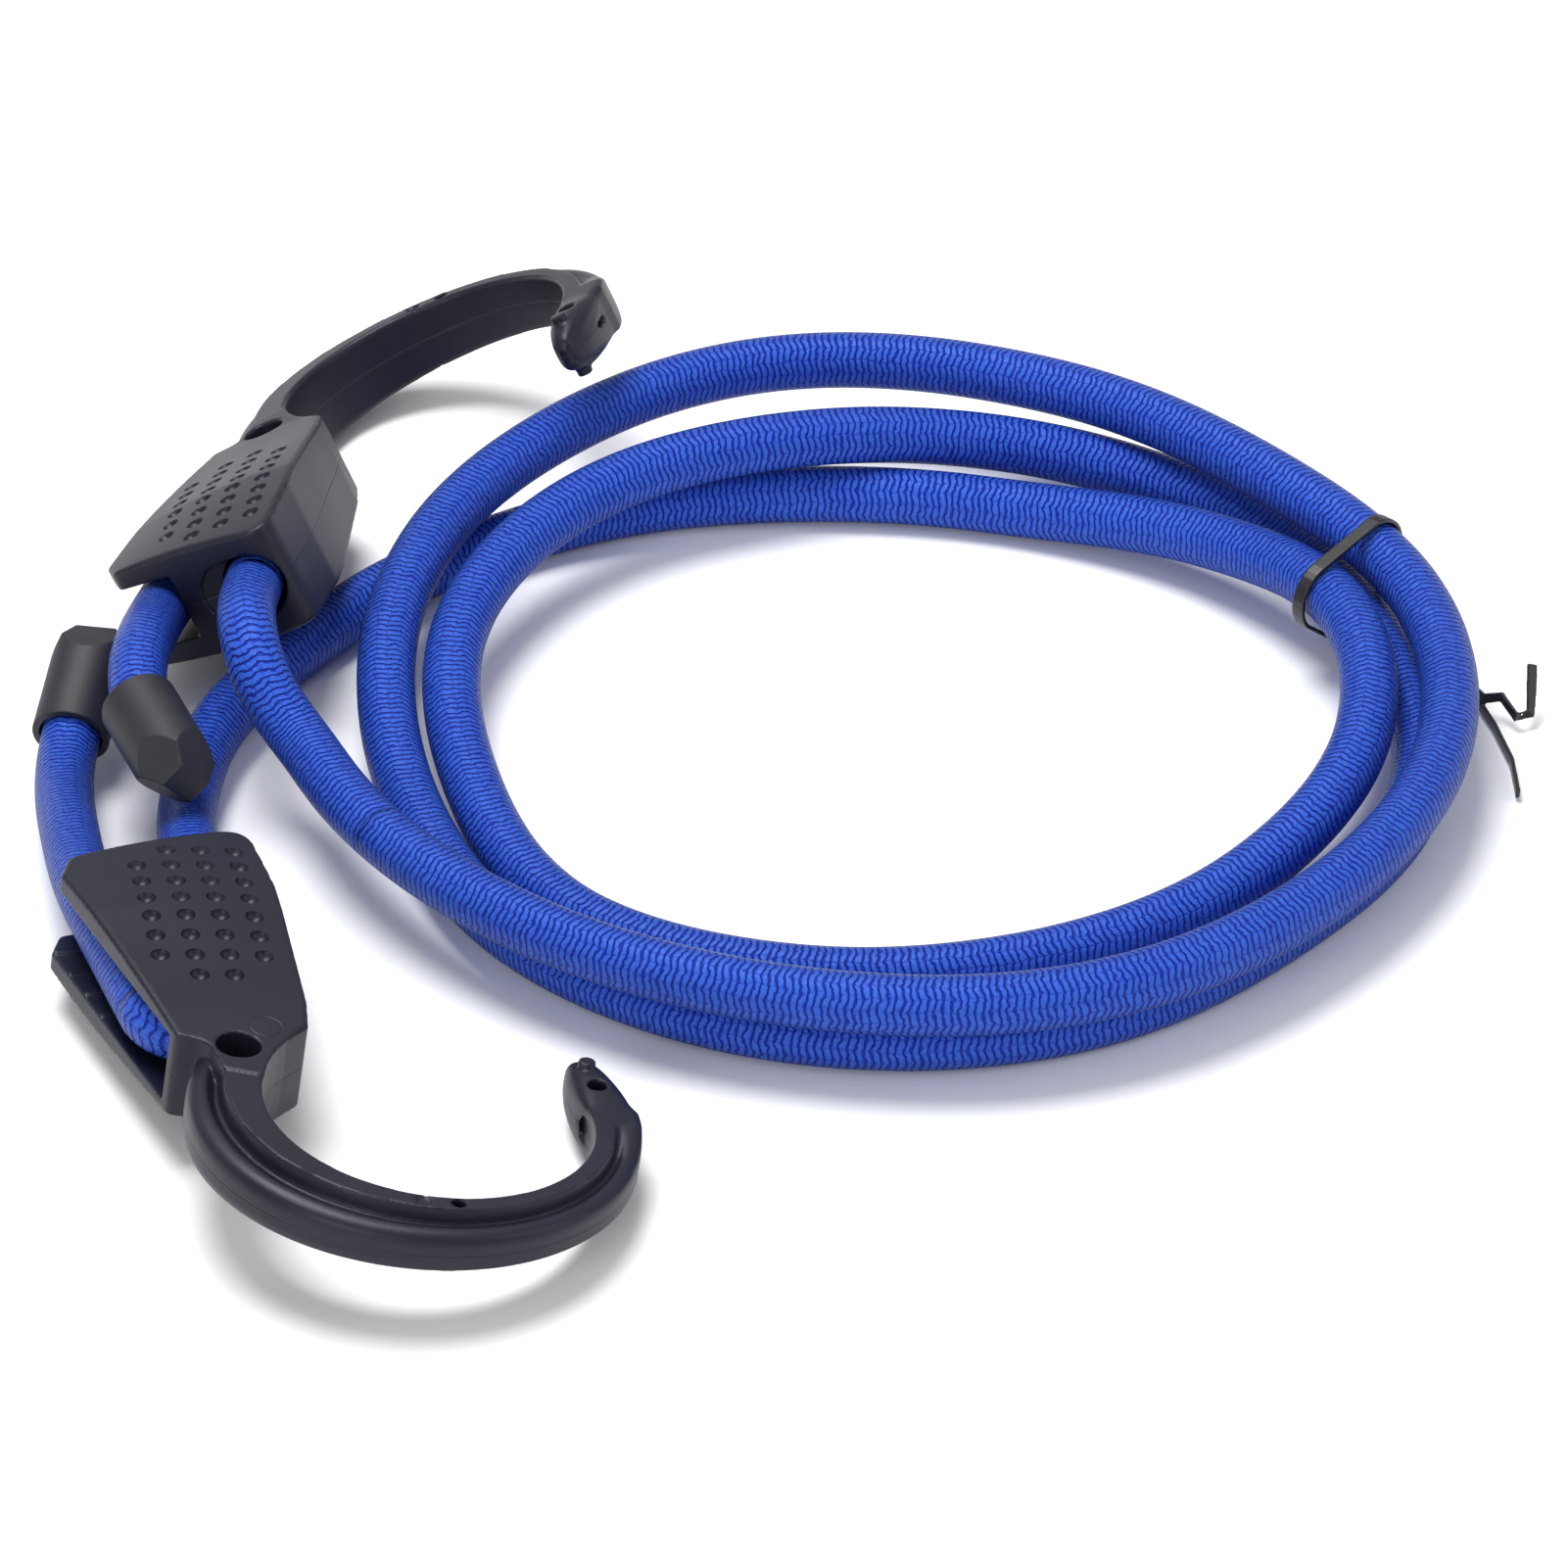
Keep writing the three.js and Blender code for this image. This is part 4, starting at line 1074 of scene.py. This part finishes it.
def recess_shells():
    """The shallow round marks of the mould's pins, one on each face of the J."""
    bearing, across = RECESS
    flange_half = lerp(HOOK_HALF, TIP_HALF, (bearing - BOWL_START) / (BOWL_END - BOWL_START))
    made = []
    for side in (1, -1):
        points, faces = pin(place_between(bowl_edges(bearing), across), RECESS_RADIUS, OVERLAP)
        rise = Vector((0, 0, side * (flange_half + OVERLAP - RECESS_DEPTH)))
        made.append(([p + rise for p in points], faces))
    return made


def hook_moulding():
    """The hook's whole mesh, in its own millimetres."""
    outline = clamp_outline()
    hook = body_of("hook_moulding", [crown_shell(outline)])
    peg_place = place_between(tip_edges(PEG[0]), PEG[1])
    bowl_pin_place = place_between(bowl_edges(BOWL_PIN[0]), BOWL_PIN[1])
    tip_hole_place = place_between(tip_edges(TIP_HOLE[0]), TIP_HOLE[1])
    holes = [pin(WAIST_HOLE, WAIST_HOLE_RADIUS, CROWN_HALF), pin(bowl_pin_place, BOWL_PIN_RADIUS, CROWN_HALF),
             pin(tip_hole_place, TIP_HOLE_RADIUS, CROWN_HALF), *recess_shells()]
    steps = [
        ("outline", [prism(outline, CROWN_HALF + OVERLAP)], "INTERSECT"),
        ("j", [j_shell()], "UNION"),
        ("peg", [pin(peg_place, PEG_RADIUS, TIP_HALF + PEG_REACH)], "UNION"),
        ("channel", [channel_shell()], "DIFFERENCE"),
        ("slot", [slot_shell()], "DIFFERENCE"),
        ("flare", [flare_shell()], "DIFFERENCE"),
        ("pins", holes, "DIFFERENCE"),
        ("tip_marks", [tip_slot(), tip_pocket()], "DIFFERENCE"),
        ("teeth", tooth_shells(), "UNION"),
    ]
    tools = []
    for name, shells, operation in steps:
        tools.append(body_of(name, shells))
        cut_or_join(hook, tools[-1], operation)
    skinned(hook, HOOK_VOXEL, HOOK_SOFTENING)
    thin = hook.modifiers.new("thin", "DECIMATE")
    thin.ratio = HOOK_KEPT
    tools.append(dimple_cutters())
    cut_or_join(hook, tools[-1], "DIFFERENCE")
    mesh = shown_mesh(hook)
    for gone in [hook, *tools]:
        bpy.data.objects.remove(gone)
    return mesh


moulding = hook_moulding()
for side in ("near", "far"):
    mesh = moulding.copy()
    mesh.name = f"{side}_hook_moulding"
    place_in_hook = mesh.attributes.new("on_hook", "FLOAT_VECTOR", "POINT")
    local = np.empty(len(mesh.vertices) * 3, np.float32)
    mesh.vertices.foreach_get("co", local)
    place_in_hook.data.foreach_set("vector", local)
    mesh.transform(hook_place(side))
    mesh.shade_smooth()
    mesh.set_sharp_from_angle(angle=math.radians(HOOK_SHARP_ANGLE))
    hook = new_object(mesh.name, mesh)
    dress(hook, HOOK_FINISH, "black_plastic", f"{side}_hook", f"{side}_hook_body")
    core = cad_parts[f"{side}_hook_core"]
    core.data.materials.clear()
    core.data.materials.append(CORE_FINISH)

# End caps, in their own millimetres: the rim at nought and the small end up the z axis
CAP_RADIUS = 6.4
CAP_LENGTH = 21.5
CAP_SOCKET_RADIUS = 5.15
CAP_SOCKET_DEPTH = 12
CAP_FLANK_LENGTH = 7
CAP_FLANK_SIZE = (12.4, 12.4)
CAP_END_SIZE = (6.8, 4.4)
CAP_SIDES = 72
CAP_VOXEL = 0.16
CAP_SOFTENING = 3
NEAR_CAP_ROLL = 0
FAR_CAP_ROLL = -47
SQUARE = ((-1, -1), (1, -1), (1, 1), (-1, 1))


def round_bar(radius, low, high):
    return shell([[Vector((radius * math.cos(a), radius * math.sin(a), z)) for a in turns_of(CAP_SIDES)]
                  for z in (low, high)])


def cap_flanks():
    """Four planes that draw in towards the cap's end, as one closed wedge."""
    grown = (CAP_LENGTH + OVERLAP) / CAP_FLANK_LENGTH - 1
    made = []
    for share in (-grown, 1):
        x, y = (lerp(wide, narrow, share) / 2 for wide, narrow in zip(CAP_FLANK_SIZE, CAP_END_SIZE))
        z = CAP_LENGTH - CAP_FLANK_LENGTH * (1 - share)
        made.append([Vector((x * a, y * b, z)) for a, b in SQUARE])
    return shell(made)


def end_cap(name, cap, roll):
    """A moulded cap: a round sleeve with a blind socket, drawn in by four flats to a small oblong end."""
    body = body_of(name, [round_bar(CAP_RADIUS, 0, CAP_LENGTH)])
    flanks = body_of("cap_flanks", [cap_flanks()])
    socket = body_of("cap_socket", [round_bar(CAP_SOCKET_RADIUS, -OVERLAP, CAP_SOCKET_DEPTH)])
    cut_or_join(body, flanks, "INTERSECT")
    cut_or_join(body, socket, "DIFFERENCE")
    skinned(body, CAP_VOXEL, CAP_SOFTENING)
    mesh = shown_mesh(body)
    for gone in (body, flanks, socket):
        bpy.data.objects.remove(gone)
    seat, heading = cap
    along = Vector(heading).normalized()
    side = Vector((0, 0, 1)).cross(along).normalized()
    turn = Matrix((side, along.cross(side), along)).transposed().to_4x4()
    rolled = turn @ Matrix.Rotation(math.radians(roll), 4, "Z")
    mesh.transform(Matrix.Translation(on_table(seat)) @ rolled @ Matrix.Scale(MM, 4))
    mesh.shade_smooth()
    return new_object(name, mesh)


# Twist tie: the frame's solid, welded and given the round edges of its coating
WELD = 1e-6
TIE_VOXEL = 0.18 * MM
TIE_SOFTENING = 2


def coated_tie():
    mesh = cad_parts["twist_tie"].data.copy()
    bm = bmesh.new()
    bm.from_mesh(mesh)
    bmesh.ops.remove_doubles(bm, verts=bm.verts, dist=WELD)
    bm.to_mesh(mesh)
    bm.free()
    piece = new_object("wire_tie", mesh)
    skinned(piece, TIE_VOXEL, TIE_SOFTENING)
    piece.data = shown_mesh(piece)
    piece.modifiers.clear()
    piece.data.shade_smooth()
    return piece


near_cap = end_cap("near_end_cap", NEAR_CAP, NEAR_CAP_ROLL)
dress(near_cap, CAP_FINISH, "cap_rubber", "near_tail", "near_cap")
far_cap = end_cap("far_end_cap", FAR_CAP, FAR_CAP_ROLL)
dress(far_cap, CAP_FINISH, "cap_rubber", "far_hook", "far_cap")
tie = coated_tie()
dress(tie, TIE_FINISH, "tie_plastic", "coil", "twist_tie")


# Stage: a white table and soft light from above, as in a product studio
def floor_finish():
    material, tree, shader = new_material("white_table", roughness=0.9)
    paper = noise(tree, object_place(tree), scale=30.0, detail=2.0)
    tree.links.new(ramp(tree, paper, [(0.0, "#f8f8f8"), (1.0, "#ffffff")]), shader.inputs["Base Color"])
    return material


def soft_light(name, place, size, watts):
    data = bpy.data.lights.new(name, "AREA")
    data.shape = "DISK"
    data.size = size
    data.energy = watts
    light = new_object(name, data)
    light.location = TABLE + Vector(place)
    light.rotation_euler = Vector(place).to_track_quat("Z", "Y").to_euler()


FLOOR_HALF = 3
AIR_STRENGTH = 0.48
floor_mesh = bpy.data.meshes.new("floor")
floor_mesh.from_pydata([(FLOOR_HALF * x, FLOOR_HALF * y, 0) for x, y in SQUARE], [], [(0, 1, 2, 3)])
floor_mesh.materials.append(floor_finish())
floor = new_object("floor", floor_mesh)
soft_light("overhead_box", place=(-0.3, 0.35, 1.5), size=0.9, watts=24)
soft_light("front_left_box", place=(-0.7, -1.3, 0.7), size=0.8, watts=6)
soft_light("right_fill", place=(1.3, -0.3, 0.9), size=1.0, watts=3.6)
world = bpy.data.worlds.new("studio_air")
world.use_nodes = True
air = world.node_tree.nodes["Background"]
air.inputs["Color"].default_value = srgb("#ffffff")
air.inputs["Strength"].default_value = AIR_STRENGTH
bpy.context.scene.world = world
bpy.context.scene.view_settings.view_transform = "Standard"
